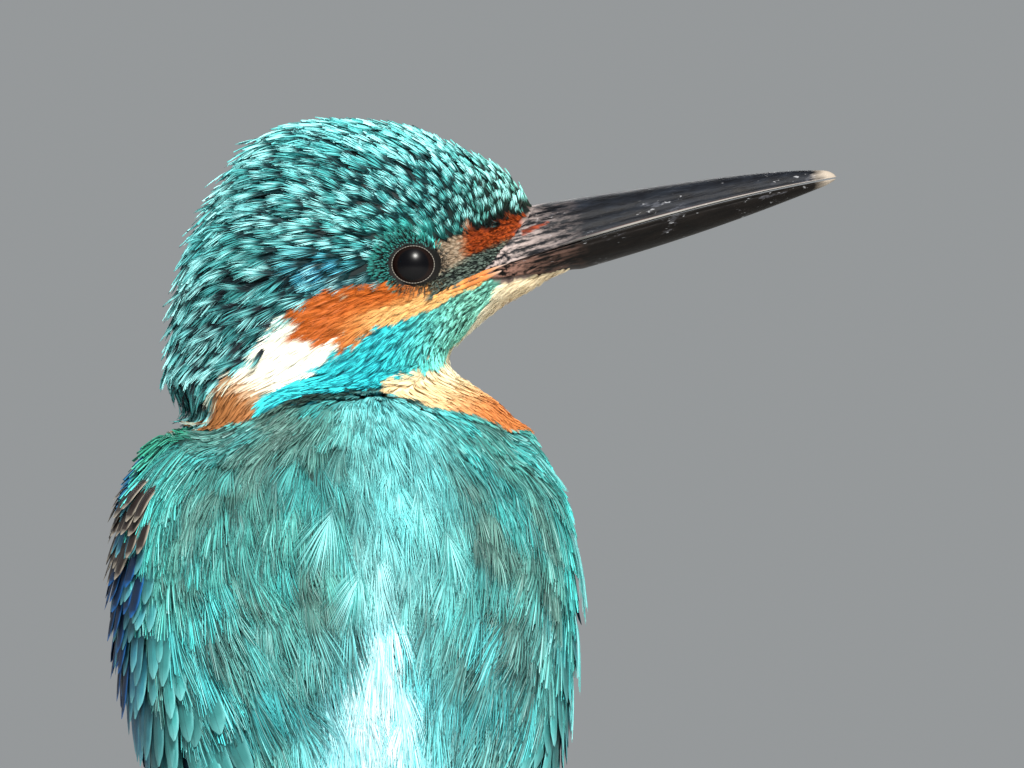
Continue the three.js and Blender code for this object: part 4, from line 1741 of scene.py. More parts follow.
def by_collar(place: Array) -> Array:
    """Whether each place is just under the mantle's upper edge."""
    angle, height, _ = girdle(place)
    return (height > line(MANTLE_TOP, angle) - 4.5) & (angle > -62) & (angle < 95)


def by_shoulder(place: Array) -> Array:
    """Whether each place is at the top of the left shoulder, where a green tuft stands out."""
    angle, height, _ = girdle(place)
    return (height > 50.5) & (height < 58.5) & (angle < -84) & (angle > -112)


def by_nape(place: Array) -> Array:
    """Whether each place is on the nape, whose feathers stand out a little."""
    return place[:, 0] < -8


def by_chin(place: Array) -> Array:
    """Whether each place is on the chin, under the bill."""
    return (place[:, 0] > 14.5) & (place[:, 2] > 134)


COAT: dict[str, tuple[str, tuple[Tract, ...]]] = {
    "coat_crown": ("head_plumage", (
        Tract("crown", (Region.CROWN,), (0.76, 1.18), (2.6, 5.8), (0.72, 1.2), -0.05, CROWN_BARBS,
              Barring.SPOTTED, wander=8, lift=0.25),
        Tract("nape", (Region.CROWN,), (1.8, 2.1), (4.5, 5.6), (0.5, 0.62), 1.0, CROWN_BARBS,
              Barring.SPOTTED, wander=14, lift=0.35, only=by_nape),
    )),
    "coat_face": ("head_plumage", (
        Tract("lores", (Region.LORES,), (0.34, 0.42), (1.2, 1.6), (0.32, 0.38), 0.02, FACE_BARBS,
              Barring.SPECKLED, wander=9, lift=0.06, roll=0.25),
        Tract("ear_coverts", (Region.EAR,), (0.5, 0.72), (2.2, 4.2), (0.42, 0.72), 0.05, SILK_BARBS,
              Barring.SILKY, wander=5, lift=0.06, roll=0.2),
        Tract("malar", (Region.MALAR,), (0.5, 0.75), (1.5, 4.2), (0.36, 0.66), 0.04, SILK_BARBS,
              Barring.SPECKLED, lift=0.1, roll=0.3),
    )),
    "coat_neck": ("neck_plumage", (
        Tract("neck_patch", (Region.NECK_PATCH,), (0.6, 0.9), (3.4, 5.4), (0.62, 0.9), 0.02, SMOOTH_BARBS,
              Barring.SILKY, wander=4, lift=0.04, roll=0.12),
        Tract("throat", (Region.THROAT,), (0.5, 0.85), (2.4, 5.0), (0.5, 0.9), 0.0, SMOOTH_BARBS,
              Barring.SILKY, wander=4, lift=0.04, roll=0.12),
        Tract("chin", (Region.THROAT,), (0.42, 0.42), (2.8, 2.8), (0.4, 0.4), 0.14, SMOOTH_BARBS,
              Barring.SILKY, wander=4, lift=0.06, roll=0.12, only=by_chin),
    )),
    "coat_mantle": ("body_plumage", (
        Tract("mantle", (Region.MANTLE,), (1.5, 2.3), (6.5, 12.0), (2.2, 3.7), 0.05, CONTOUR_BARBS,
              Barring.STREAKY, lift=0.14, roll=0.25),
        Tract("collar", (Region.MANTLE,), (0.75, 0.75), (3.6, 3.6), (0.9, 0.9), -0.05, SILK_BARBS,
              Barring.STREAKY, wander=6, lift=0.08, roll=0.25, only=by_collar),
        Tract("shoulder", (Region.MANTLE, Region.COVERTS, Region.BREAST), (0.9, 0.9), (5.0, 5.0), (0.9, 0.9),
              0.7, SILK_BARBS, Barring.SPECKLED, wander=9, lift=0.3, only=by_shoulder),
    )),
    "coat_scapulars": ("body_plumage", (
        Tract("scapulars", (Region.SCAPULARS,), (1.9, 2.3), (11.0, 14.0), (3.3, 4.0), 0.2, CONTOUR_BARBS,
              Barring.STREAKY, wander=8, lift=0.16, roll=0.25),
        Tract("back_stripe", (Region.STRIPE,), (0.9, 1.2), (7.0, 9.0), (1.1, 1.4), 0.25, STRIPE_BARBS,
              Barring.STREAKY, wander=5, lift=0.12, roll=0.25),
        Tract("rump", (Region.RUMP,), (1.3, 1.5), (6.0, 8.0), (1.4, 1.7), 0.1, STRIPE_BARBS,
              Barring.SILKY, wander=6, lift=0.15, roll=0.3),
    )),
    "coat_breast": ("body_plumage", (
        Tract("breast", (Region.BREAST,), (1.0, 1.5), (4.6, 7.5), (1.0, 1.5), 0.1, BELLY_BARBS,
              Barring.SILKY, lift=0.15, roll=0.3),
    )),
    "coat_belly": ("body_plumage", (
        Tract("belly", (Region.BELLY,), (1.4, 1.6), (7.0, 8.5), (1.4, 1.7), 0.15, BELLY_BARBS,
              Barring.SILKY, wander=9, lift=0.2, roll=0.3),
        Tract("undertail", (Region.UNDERTAIL,), (1.3, 1.4), (6.5, 7.5), (1.3, 1.5), 0.1, BELLY_BARBS,
              Barring.SILKY, lift=0.2, roll=0.3),
    )),
}


@dataclass(frozen=True)
class Fans:
    """A few loose, bright feathers of the back whose barbs spread like fans."""

    plumage: Plumage
    # Across, height of the root, length, half-width, slant in degrees and the tip's height over the coat.
    tufts: tuple[tuple[float, ...], ...] = (
        (-7.0, 48.0, 11.0, 4.4, -14, 0.5), (-3.4, 40.4, 10.0, 4.0, -16, 0.5), (4.2, 50.6, 11.0, 3.2, 4, 0.5),
        (7.6, 45.0, 9.0, 3.0, 10, 0.5), (23.8, 56.0, 8.5, 2.0, 8, 0.7), (24.6, 45.5, 12.0, 2.6, 6, 1.2),
        (25.6, 43.5, 11.5, 2.4, 3, 1.0), (25.2, 34.5, 11.0, 2.6, 2, 1.1), (25.6, 28.0, 10.0, 2.4, -2, 0.9),
    )
    start: float = 27.0  # how far from the body's axis they start, before they settle on the coat

    def grow(self) -> Growth:
        """Grows the tufts.

        Returns:
            Their feathers.
        """
        share = np.linspace(0, 1, self.plumage.stops)
        across, height, length, half_width, slant, tip = np.array(self.tufts).T[..., None]
        x = across + length * share * np.sin(np.radians(slant))
        z = height - length * share * np.cos(np.radians(slant))
        y = TRUNK_AXIS - np.sqrt(np.maximum(self.start ** 2 - x ** 2, 0))
        routes = from_body(np.stack([x, y, z], -1))
        shaft, outs = self.plumage.form.settle(routes, mix(-0.6, tip, share ** 0.6), 5)
        tract = Tract("fans", pattern=FAN_BARBS, stray=0.05, roll=0.3)
        growth = self.plumage.fit(tract, shaft, outs, half_width[:, 0])
        along, side = growth.flat[:, 1], np.abs(growth.flat[:, 0] - 0.5) * 2
        barb = np.repeat(self.plumage.rng.random(len(shaft) * FAN_BARBS.barbs), 2 * FAN_BARBS.stations)
        bright = np.where(barb < 0.45, 0.15, mix(0.3, 0.9, barb)) * mix(1.0, 0.45, side ** 0.7)
        tones = shade(bright, (66, 150, 144), (190, 250, 248))
        growth.colours = shade(step(0.0, 0.35, along), tones * 0.7, tones)
        return growth


@dataclass(frozen=True)
class EyeFringe:
    """Rings of tiny feathers round each eye, black at the base and turquoise at the tip."""

    plumage: Plumage
    # Half of a ring's length and height, its feathers' length and half-width, and the height of their roots.
    rings: tuple[tuple[float, ...], ...] = (
        (2.78, 2.42, 0.6, 0.08, 0.2), (2.95, 2.6, 0.8, 0.1, 0.05), (3.15, 2.8, 1.0, 0.11, -0.3),
        (3.45, 3.05, 1.3, 0.13, -0.3), (3.8, 3.4, 1.6, 0.17, -0.35), (4.25, 3.8, 1.7, 0.2, -0.4),
    )
    count: int = 74
    widest: float = 3.6  # a ring longer than this goes only behind the eye and over it

    def grow(self) -> list[Growth]:
        """Grows the rings of both eyes.

        Returns:
            Their feathers, ring by ring.
        """
        form, markings, rng = self.plumage.form, self.plumage.markings, self.plumage.rng
        eye, growths, share = markings.eye, [], np.linspace(0, 1, 4)
        tract = Tract("fringe", pattern=FACE_BARBS, roll=0.2)
        for side in (-1, 1):
            for wide, high, length, half_width, root in self.rings:
                angle = (np.arange(self.count) + rng.uniform(-0.4, 0.4, self.count)) * math.tau / self.count
                wide, high = (half + rng.uniform(-0.1, 0.12, self.count) for half in (wide, high))
                lengths = length * rng.uniform(0.7, 1.25, self.count)
                spoke = np.stack([np.cos(angle), np.zeros_like(angle), np.sin(angle)], -1)
                way = unit(spoke + np.array([-0.55, 0, -0.1]))
                start = np.stack([eye[0] + wide * spoke[:, 0], np.full_like(angle, HEAD_PLANE + side * 12),
                                  eye[2] + high * spoke[:, 2]], -1)
                forward, up = markings.face(start)
                above = (up > line(CROWN_EDGE, forward) + 0.5) & (forward < 1.0)
                kept = above | (np.mean(wide) < self.widest)
                routes = start[:, None] + way[:, None] * (lengths[:, None] * share)[..., None]
                routes = form.slide(routes[kept], side, mix(root, max(root, 0.12), share))
                growth = self.plumage.fit(tract, routes, form.at(routes)[1], np.full(len(routes), half_width))
                growth.colours = self._colours(growth)
                growths.append(growth)
        return growths

    def _colours(self, growth: Growth) -> Array:
        """Black at the base and turquoise at the tip, but darker before the eye and brown under it."""
        forward, up = self.plumage.markings.face(growth.places)
        shown = shade(step(0.8, 2.6, forward) * step(2.6, 1.6, up), (74, 190, 176), (46, 46, 42))
        shown = shade(step(-1.6, -2.4, up) * step(-3.2, -1.6, forward), shown, (122, 96, 66))
        return shade(step(0.4, 0.9, growth.flat[:, 1]), (8, 12, 12), shown)


# ---- Eyes and bill
@dataclass(frozen=True)
class Eyes:
    """The two eyeballs."""

    rows: int = 40
    columns: int = 64

    def build(self) -> tuple[Array, float]:
        """Puts both eyes in the scene.

        Returns:
            The middle of the right eye and the radius.
        """
        for name in ("eye_left", "eye_right"):
            low, high = box_mm(name)
            centre, radius = (low + high) / 2, float((high - low).max() / 2)
            ball = bmesh.new()
            bmesh.ops.create_uvsphere(ball, u_segments=self.columns, v_segments=self.rows, radius=radius)
            bmesh.ops.rotate(ball, verts=ball.verts, matrix=Matrix.Rotation(math.pi / 2, 3, "X"))
            bmesh.ops.translate(ball, verts=ball.verts, vec=centre)
            finish = EyeFinish(f"{name}_wet", tuple(centre * MM))
            show(f"{name}ball", finished(ball, name), finish.build(), (name,))
        return centre, radius


@dataclass
class Bill:
    """The two halves of the bill, with ridge, grooves, nostrils and a fine edge."""

    nodes: Frame
    eye: Array
    form: Form
    arc: float = 0.8  # the share of a section that shows; the rest closes it along the mouth
    nostril: tuple[tuple[float, float], tuple[float, float]] = ((13.4, 4.0), (16.5, 5.3))
    power: float = 1.72
    aim: tuple[float, float] = (12.0, 44.0)  # how far up and forward the bill points

    def _measure(self, name: str) -> dict[str, Array]:
        """Measures a half of the bill along X.

        Args:
            name: Its node.

        Returns:
            Smooth curves through its sections, for top, bottom and half-width, and the range of X.
        """
        places, _ = places_of(copy_of(self.nodes, name))
        xs = np.unique(np.round(places[:, 0], 1))
        cuts = [places[np.abs(places[:, 0] - x) < 0.06] for x in xs]
        rows = [(x, cut[:, 2].max(), cut[:, 2].min(), np.abs(cut[:, 1] - HEAD_PLANE).max())
                for x, cut in zip(xs, cuts) if len(cut) > 4]
        x, *sizes = np.array(rows).T
        fits = {key: np.polyfit(x, values, 5) for key, values in zip(("top", "low", "half"), sizes)}
        return {**fits, "range": np.array([x.min(), x.max()])}

    def _horn(self, name: str, upper: bool) -> BMesh:
        """Makes one half of the bill.

        Args:
            name: Its node.
            upper: Whether it is the upper one.

        Returns:
            The horn, with its marks' colours as Plumage and where they show as Marked.
        """
        size = self._measure(name)
        start, end = size["range"]
        marks: dict[str, Array] = {}

        def place(turn: Array, share: Array) -> Array:
            """Points on the horn, for shares round it and along it."""
            x = mix(start, end, share)
            top, low, half = (np.polyval(size[key], x) for key in ("top", "low", "half"))
            mouth, crest = (low - 0.1, top) if upper else (top, low + 0.3 * step(28.5, 26.5, x))
            closing = np.clip(1 - (np.clip(x - end + 1.6, 0, None) / 1.6) ** 2, 0.01, 1) ** 0.6
            half, crest = half * closing * (1 if upper else 0.985), mouth + (crest - mouth) * closing
            angle = np.clip(turn / self.arc, 0, 1) * math.pi
            cosine, sine = np.cos(angle), np.sin(angle)
            across = np.sign(cosine) * np.abs(cosine) ** (2 / self.power)
            rise = np.abs(sine) ** (2 / self.power)
            under = turn > self.arc
            across = np.where(under, -1 + 2 * (turn - self.arc) / (1 - self.arc), across)
            rise = np.where(under, -0.02 * (1 - across ** 2), rise)
            groove = 0.05 * np.exp(-((rise - 0.5) / 0.09) ** 2) * step(54, 30, x)
            groove = groove + 0.03 * np.exp(-((rise - 0.14) / 0.05) ** 2)
            z = mouth + (crest - mouth) * rise
            points = np.stack([x, HEAD_PLANE + half * across * (1 - groove), z], -1)
            (x0, z0), (x1, z1) = self.nostril
            from_start = np.stack([x - self.eye[0] - x0, z - self.eye[2] - z0], -1)
            run = np.array([x1 - x0, z1 - z0])
            along = np.clip((from_start @ run) / (run @ run), 0, 1)
            away = np.linalg.norm(from_start - along[:, None] * run, axis=-1) + (0.25 * along if upper else 9)
            dent = step(0.32, 0.08, away)
            feathered = mix(16.2, 23.5, rise)
            if not upper:
                feathered = line(((0, 16), (0.45, 17.2), (0.6, 19.5), (0.8, 23)), rise)
            height = mix(-0.08, -1.3, step(feathered + 0.4, feathered - 0.9, x))
            merged = self.form.slide(points, np.where(across < 0, -1.0, 1.0), height)
            root = step(25, 20, x) * step(0.92, 0.7, rise) * np.where(under, np.abs(across) ** 4, 1)
            points[:, 1] = mix(points[:, 1], merged[:, 1], root)
            points[:, 1] -= np.sign(across) * (0.3 * dent - 0.08 * np.exp(-((away - 0.42) / 0.12) ** 2))
            marks["x"], marks["rise"], marks["away"] = x, rise, away
            return points

        shape = sheet(rows=150, columns=96, place=place)
        seam = (marks["rise"] < 0.07) & upper
        colours = shade(step(0.05, 0.26, marks["away"]), (44, 16, 9), (122, 50, 27))
        shown = np.maximum(step(0.36, 0.24, marks["away"]), 0.6 * seam * step(24, 36, marks["x"]))
        colours = np.where(seam[:, None], np.array([150.0, 148, 144]), colours)
        plumage = shape.verts.layers.float_color.new("Plumage")
        marked = shape.verts.layers.float.new("Marked")
        for vertex, colour, share in zip(shape.verts, linear(colours), shown):
            vertex[plumage], vertex[marked] = (*colour, 1.0), share
        bmesh.ops.remove_doubles(shape, verts=shape.verts, dist=1e-3)
        close(shape)
        return shape

    def build(self) -> None:
        """Puts both halves in the scene."""
        low, high = box_mm("bill_upper")
        base = (float(low[0]) * MM, HEAD_PLANE * MM, float(low[2] + 3) * MM)
        tilt = math.atan2(*self.aim)
        length = float(high[0] - low[0]) * MM
        for name, upper in (("bill_upper", True), ("bill_lower", False)):
            mesh = finished(self._horn(name, upper), f"{name}_horn")
            finish = HornFinish(f"{name}_finish", tilt, base, length, not upper)
            show(f"{name}_horn", mesh, finish.build(), (name,))


# ---- Wings and tail
@dataclass
class Wings:
    """The folded wings and the tail: rows of coverts, feathers of the wrist, and quills."""

    plumage: Plumage
    nodes: Frame
    count: int = 13  # quills to a wing
    top: float = 17.0  # how high over the perch the quills start
    stops: int = 12
    thickness: float = 0.00016
    covert_rows: tuple[float, ...] = (53, 50.6, 48, 45.2, 42.2, 39, 35.6, 32, 28.2, 24.4, 20.6, 16.8, 13, 10)
    wrist_rows: tuple[float, ...] = (54, 51, 48, 45, 42, 38.5, 35, 31)

    def _roots(self, rows: Sequence[float], side: float, start: Callable[[float], float],
               end: Callable[[float], float], pitch: tuple[float, float]) -> Array:
        """Roots in rows round the body, each row set off from the one above.

        Args:
            rows: Heights over the perch.
            side: -1 for the left and 1 for the right.
            start: Degrees from the middle of the back where a row of a height starts.
            end: Degrees where it ends.
            pitch: The step from root to root in the top and the bottom row.

        Returns:
            The roots, on the outside of the coat.
        """
        roots = []
        rng = self.plumage.rng
        for number, height in enumerate(rows):
            gap = mix(*pitch, number / max(1, len(rows) - 1))
            turn = math.degrees(gap / BACK_RADIUS)
            angles = np.arange(start(height) + (number % 2) * turn / 2, end(height), turn)
            angles = np.radians(angles + rng.uniform(-0.12, 0.12, len(angles)) * turn) * side
            heights = height + rng.uniform(-0.9, 0.9, len(angles))
            around = [BACK_RADIUS * np.sin(angles), TRUNK_AXIS - BACK_RADIUS * np.cos(angles), heights]
            roots.append(np.stack(around, -1))
        return self.plumage.form.settle(from_body(np.concatenate(roots)), 0, 4)[0]

    def coverts(self) -> list[Growth]:
        """Grows the rows of small and middling coverts.

        Returns:
            Those of each wing.
        """
        tract = Tract("coverts", (Region.COVERTS,), (1, 1), (5.2, 11.5), (1.1, 1.45), 0.4, COVERT_VANE,
                      Barring.TIPPED, wander=6, lift=0.12)
        return [self.plumage.grow(tract, self._roots(
            self.covert_rows, side, lambda z: float(line(SCAPULAR_EDGE, z) + turn * line(MANTLE_TURN, z)) - 8,
            lambda z: float(line(WING_FRONT, z)) - 3, (1.6, 2.4))) for side, turn in ((-1, -1.0), (1, 0.5))]

    def wrists(self) -> list[Growth]:
        """Grows the dark feathers with pale and blue rims along the front of the wings.

        Returns:
            Those of each wing.
        """
        tract = Tract("wrist", (Region.COVERTS,), (1, 1), (7.0, 9.0), (1.3, 1.4), 0.9, COVERT_VANE,
                      Barring.TIPPED, wander=5, lift=0.15)
        growths = []
        for side, inner in ((-1, ((36, 84), (42, 74), (58, 72))), (1, ((0, 92), (58, 92)))):
            roots = self._roots(self.wrist_rows, side, lambda z: float(line(inner, z)),
                                lambda z: float(line(WING_FRONT, z)) + 1, (2.0, 2.6))
            growth = self.plumage.grow(tract, roots)
            flat, each = growth.flat, len(growth.flat) // len(roots)
            _, height, _ = girdle(roots)
            own = np.repeat(mix(self.plumage.rng.random(len(roots)), step(48, 41, height), 0.7), each)
            rim = np.maximum(step(0.62, 0.95, np.abs(flat[:, 0] - 0.5) * 2), step(0.86, 0.98, flat[:, 1]))
            pale, blue = shade(rim, (36, 28, 26), (178, 168, 152)), shade(rim, (10, 34, 62), (24, 104, 176))
            growth.colours = np.where((own < 0.5)[:, None], pale, blue)
            growths.append(growth)
        return growths

    def wing(self, side: float) -> Growth:
        """The long feathers of one folded wing, whose tips lie one below another by the spine.

        Args:
            side: -1 for the left wing and 1 for the right.

        Returns:
            The feathers.
        """
        node = "wing_quills_left" if side < 0 else "wing_quills_right"
        corners, _ = places_of(copy_of(self.nodes, node))
        angle, height, _ = girdle(corners)
        body = to_body(corners)
        radius = np.hypot(body[:, 0], TRUNK_AXIS - body[:, 1])
        levels = np.linspace(height.min() + 1, height.max() - 1, 9)
        near = [np.abs(height - level) < 4.5 for level in levels]
        inner = np.polyfit(levels, [np.abs(angle[group]).min() for group in near], 1)
        outer = np.polyfit(levels, [np.abs(angle[group]).max() for group in near], 1)
        reach = np.polyfit(levels, [radius[group].max() for group in near], 1)
        number = np.arange(self.count)[:, None]
        share = np.linspace(0, 1, self.stops)[None]
        order = (number + 0.5) / self.count
        lowest = float(height.min())
        tip = mix(8.0, lowest + 0.4, np.clip((number + 1) / self.count, 0, 1) ** 0.75)
        z = mix(self.top, tip, share)
        across = mix(order, 0.1 + 0.34 * order, share ** 1.2)
        turn = np.radians(mix(np.polyval(inner, z), np.polyval(outer, z), across)) * side
        out = np.polyval(reach, z)
        routes = np.stack([out * np.sin(turn), TRUNK_AXIS - out * np.cos(turn), z], -1)
        over = mix(-1.2, mix(1.2, 0.7, order), step(0.05, 0.7, share)) + 0 * z
        shaft, outs = self.plumage.form.settle(from_body(routes), over, 4)
        tract = Tract("quills", pattern=QUILL_VANE, stray=0, camber=0.04, slant=0.11)
        return self.plumage.fit(tract, shaft, outs, np.linspace(2.9, 1.9, self.count), -side)

    def tail(self) -> Growth:
        """Lays the twelve feathers of the tail, the middle pair on top.

        Returns:
            The feathers.
        """
        feathers, rng = 12, self.plumage.rng
        out = np.linspace(-1, 1, feathers)[:, None] * np.ones((1, self.stops))
        share = np.linspace(0, 1, self.stops)[None] * np.ones((feathers, 1))
        uneven = rng.uniform(0, 0.9, (feathers, 1))
        z = mix(-8.0, -37.8 + 1.8 * out ** 2 + uneven, share)
        x = out * mix(6.0, 10.6, share)
        y = mix(-25.0, -32.8, share) - 1.6 * (1 - out ** 2) + 0.35 * np.abs(out)
        place = from_body(np.stack([x, y, z], -1))
        outs = np.broadcast_to(turned(np.array([0, -1.0, 0.22]), BODY_YAW), place.shape)
        tract = Tract("tail", pattern=TAIL_VANE, stray=0, camber=0.06, slant=0.05)
        return self.plumage.fit(tract, place, outs, np.full(feathers, 1.75), -np.sign(out[:, :1, None]))

    def build(self) -> None:
        """Puts wings and tail in the scene."""
        coverts = feather_mesh("coat_wing_coverts", [*self.coverts(), *self.wrists()])
        show("coat_wing_coverts", coverts, VaneFinish("covert_vanes", barbs=24.0).build())
        finish = VaneFinish("quill_vanes").build()
        quill, tail = ((24, 44, 62), (38, 118, 150)), ((16, 40, 84), (30, 84, 160))
        for name, growth, replaced, slot, (dark, bright) in (
            ("wing_quills_left_feathers", self.wing(-1), "wing_quills_left", "quills", quill),
            ("wing_quills_right_feathers", self.wing(1), "wing_quills_right", "quills", quill),
            ("tail_feathers", self.tail(), "tail", "tail_plumage", tail),
        ):
            growth.colours = shade(mix(0.15, 1.0, step(0.55, 1.0, growth.flat[:, 0])), dark, bright)
            piece = show(name, feather_mesh(name, [growth]), finish, (replaced,))
            solid = piece.modifiers.new("thickness", "SOLIDIFY")
            solid.thickness, solid.offset = self.thickness, 0.0


# ---- Feet, claws, perch and stand
@dataclass(frozen=True)
class Feet:
    """Legs and toes under one scaly skin on each side, and the claws."""

    nodes: Frame
    voxel: float = 0.24
    scutes: float = 30.0  # rings to a turn round the perch
    relief: float = 0.07
    cover: float = 0.16  # how far the skin lies over the bones before it is evened

    def build(self) -> None:
        """Puts feet and claws in the scene."""
        skin = ScaledFinish("foot_scales", (214, 84, 34), (150, 48, 20), 1400.0, 0.42).build()
        horn = ScaledFinish("claw_horn", (52, 42, 38), (22, 18, 18), 900.0, 0.3).build()
        for side in ("left", "right"):
            names = (f"leg_{side}", f"foot_{side}")
            parts = []
            for name in names:
                part = copy_of(self.nodes, name)
                swell(part, self.cover)
                parts.append(part)
            shape = remeshed(joined(parts, "foot"), self.voxel, smoothing=3)
            places, normals = places_of(shape)
            body = to_body(places)
            turn = np.arctan2(body[:, 1] - HEAD_PLANE, body[:, 2] + 7)
            ring = np.abs(np.sin(turn * self.scutes / 2)) ** 0.5
            upper = step(0.0, 0.5, (normals * unit(places - places.mean(0))).sum(1))
            move_to(shape, places + normals * ((ring - 0.6) * self.relief * upper - 0.1)[:, None])
            show(f"foot_{side}_skin", finished(shape, f"foot_{side}_skin"), skin, names)
            for which in ("inner", "middle", "outer", "hind"):
                name = f"claw_{side}_{which}"
                claw = copy_of(self.nodes, name)
                bmesh.ops.join_triangles(claw, faces=claw.faces, angle_face_threshold=0.6,
                                         angle_shape_threshold=0.9)
                piece = show(f"{name}_horn", finished(claw, name), horn, (name,))
                smooth = piece.modifiers.new("smooth", "SUBSURF")
                smooth.levels = smooth.render_levels = 2


@dataclass(frozen=True)
class Perch:
    """A short cut branch with furrowed bark and bare ends."""

    nodes: Frame
    furrow: float = 0.5

    def build(self) -> None:
        """Puts the perch in the scene."""
        shape = copy_of(self.nodes, "perch")
        bmesh.ops.subdivide_edges(shape, edges=shape.edges, cuts=3, use_grid_fill=True, smooth=0.6)
        places, normals = places_of(shape)
        furrows = np.array([noise.turbulence(Vector((x * 0.09, y * 0.75, z * 0.75)), 4, False)
                            for x, y, z in to_body(places)])
        end = np.abs(normals @ np.array([math.cos(BODY_YAW), math.sin(BODY_YAW), 0])) > 0.8
        depth = np.where(end, 0.0, self.furrow * np.clip(1 - furrows, 0, 1))
        swell(shape, -depth)
        finish = WoodFinish("bark", (150, 126, 100), (70, 54, 42), (0.16, 1, 1), -BODY_YAW, scale=700.0,
                            roughness=0.72, relief=0.0003)
        show("perch_branch", finished(shape, "perch_branch"), finish.build(), ("perch",))


@dataclass(frozen=True)
class Stand:
    """A turned base and a steel rod with a small collar."""

    around: int = 128
    bevel: float = 2.4

    def _turned(self, outline: Sequence[tuple[float, float]], centre: tuple[float, float]) -> BMesh:
        """Makes a lathe shape.

        Args:
            outline: Radii and heights, from axis to axis.
            centre: Where the axis is.

        Returns:
            The shape.
        """
        shape = bmesh.new()
        corners = [shape.verts.new((radius, 0, height)) for radius, height in outline]
        edges = [shape.edges.new(pair) for pair in zip(corners, corners[1:])]
        bmesh.ops.spin(shape, geom=[*corners, *edges], cent=(0, 0, 0), axis=(0, 0, 1), dvec=(0, 0, 0),
                       angle=2 * math.pi, steps=self.around, use_merge=True)
        bmesh.ops.remove_doubles(shape, verts=shape.verts, dist=1e-4)
        bmesh.ops.translate(shape, verts=shape.verts, vec=(*centre, 0))
        return shape

    def build(self) -> None:
        """Puts base and rod in the scene."""
        low, high = box_mm("stand_base")
        radius, top = float(high[0]), float(high[2])
        bend = [(radius - self.bevel * (1 - math.cos(a)), top - self.bevel * (1 - math.sin(a)))
                for a in np.linspace(0, math.pi / 2, 9)]
        groove = [(radius - 7 + 0.5 * math.cos(a), top - 0.5 * math.sin(a))
                  for a in np.linspace(0, math.pi, 7)]
        outline = [(0, 0), (radius - 0.6, 0), (radius, 0.6), *bend, *groove, (0, top)]
        wood = WoodFinish("waxed_wood", (104, 66, 40), (52, 30, 18), (0.12, 1, 1), 0.3, scale=260.0,
                          roughness=0.3, relief=0.00006, wax=0.4)
        base = finished(self._turned(outline, (0, 0)), "stand_base_turned")
        show("stand_base_turned", base, wood.build(), ("stand_base",))
        low, high = box_mm("stand_rod")
        centre, thick = (low + high) / 2, float(high[0] - low[0]) / 2
        bottom, height = float(low[2]), float(high[2])
        outline = [(0, bottom), (thick, bottom), (thick, top), (thick + 1.9, top), (thick + 1.9, top + 0.9),
                   (thick + 1.5, top + 1.3), (thick, top + 1.5), (thick, height), (0, height)]
        rod = finished(self._turned(outline, (float(centre[0]), float(centre[1]))), "stand_rod_steel")
        show("stand_rod_steel", rod, SteelFinish("satin_steel").build(), ("stand_rod",))


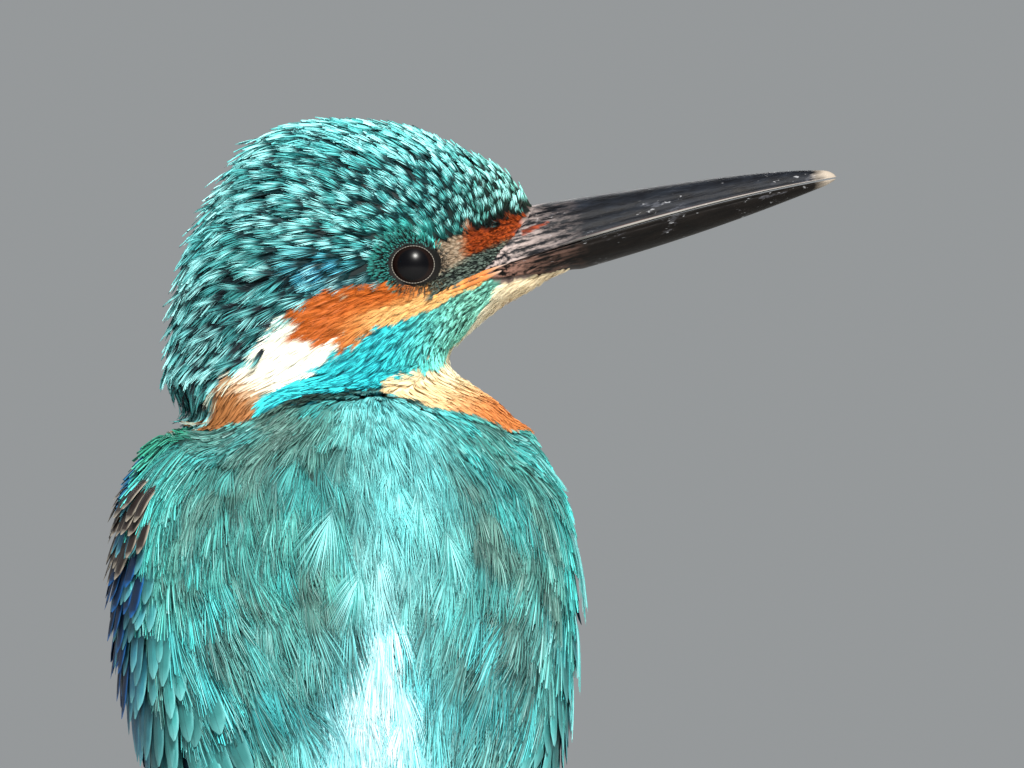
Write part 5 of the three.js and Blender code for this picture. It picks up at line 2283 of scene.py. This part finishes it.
# ---- Studio
@dataclass(frozen=True)
class Studio:
    """A pale floor, soft lights and a long lens level with the bird's head."""

    aim: tuple[float, float, float] = (19.6, 0.0, 127.6)
    view_width: float = 124.9
    distance: float = 1200.0
    sensor: float = 36.0
    floor_radius: float = 0.95

    def build(self) -> None:
        """Makes the studio."""
        scene = bpy.context.scene
        lens = bpy.data.cameras.new("camera")
        lens.sensor_width, lens.lens = self.sensor, self.sensor * self.distance / self.view_width
        lens.clip_start, lens.clip_end = 0.05, 20
        camera = bpy.data.objects.new("camera", lens)
        x, y, z = self.aim
        camera.location = (x * MM, (y - self.distance) * MM, z * MM)
        camera.rotation_euler = (math.pi / 2, 0, 0)
        scene.collection.objects.link(camera)
        scene.camera = camera

        floor = bmesh.new()
        bmesh.ops.create_circle(floor, cap_ends=True, segments=96, radius=self.floor_radius)
        mesh = bpy.data.meshes.new("floor")
        floor.to_mesh(mesh)
        floor.free()
        mesh.materials.append(FloorFinish("pale_floor").build())
        ground = bpy.data.objects.new("floor", mesh)
        scene.collection.objects.link(ground)

        for name, place, size, power, tint in (
            ("key", (0.16, -0.86, 0.78), 0.2, 34.0, (1.0, 0.97, 0.92)),
            ("back", (-0.2, 0.9, 0.7), 0.5, 6.0, (1.0, 1.0, 1.0)),
        ):
            light = bpy.data.lights.new(name, "AREA")
            light.shape, light.size, light.energy, light.color = "DISK", size, power, tint
            lamp = bpy.data.objects.new(name, light)
            lamp.location = place
            target = Vector((0, 0, 0.12))
            lamp.rotation_euler = (target - lamp.location).to_track_quat("-Z", "Y").to_euler()
            scene.collection.objects.link(lamp)
        world = bpy.data.worlds.new("studio")
        world.use_nodes = True
        background = world.node_tree.nodes["Background"]
        background.inputs["Color"].default_value = rgba((196, 200, 202))
        background.inputs["Strength"].default_value = 0.55
        scene.world = world
        scene.view_settings.view_transform = "Standard"


def main() -> None:
    """Builds the bird, its perch and its stand, then the studio."""
    logging.basicConfig(level=logging.INFO, format="%(message)s")
    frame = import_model()
    nodes = frame["nodes"]
    rng = np.random.default_rng(seed=7)

    centre, radius = Eyes().build()
    markings = Markings(centre)
    lie = Lie(markings)
    skin = Skin(nodes)
    whole = skin.outside((*skin.flesh, *skin.eyes, *skin.bill, *skin.quills))
    form = Form.around(whole, cell=1.3, margin=6.0)
    whole.free()
    LOG.info("form: %s cells", form.grid.shape)
    outside = skin.outside((*skin.flesh, *skin.eyes, *skin.bill))
    thirds = outside.copy()
    bmesh.ops.triangulate(thirds, faces=thirds.faces)
    faces = np.array([[vertex.co[:] for vertex in face.verts] for face in thirds.faces])
    thirds.free()
    skin.build(outside, form, markings, radius)
    Bill(nodes, centre, form).build()

    plumage = Plumage(form, markings, lie, faces, rng)
    finish = FeatherFinish("barbs").build()
    for name, (slot, tracts) in COAT.items():
        growths = [plumage.grow(tract) for tract in tracts]
        if name == "coat_face":
            growths += EyeFringe(plumage).grow()
        if name == "coat_mantle":
            growths.append(Fans(plumage).grow())
        show(name, feather_mesh(name, growths), finish)
    Wings(plumage, nodes).build()
    Feet(nodes).build()
    Perch(nodes).build()
    Stand().build()
    Studio().build()


if __name__ == "__main__":
    main()
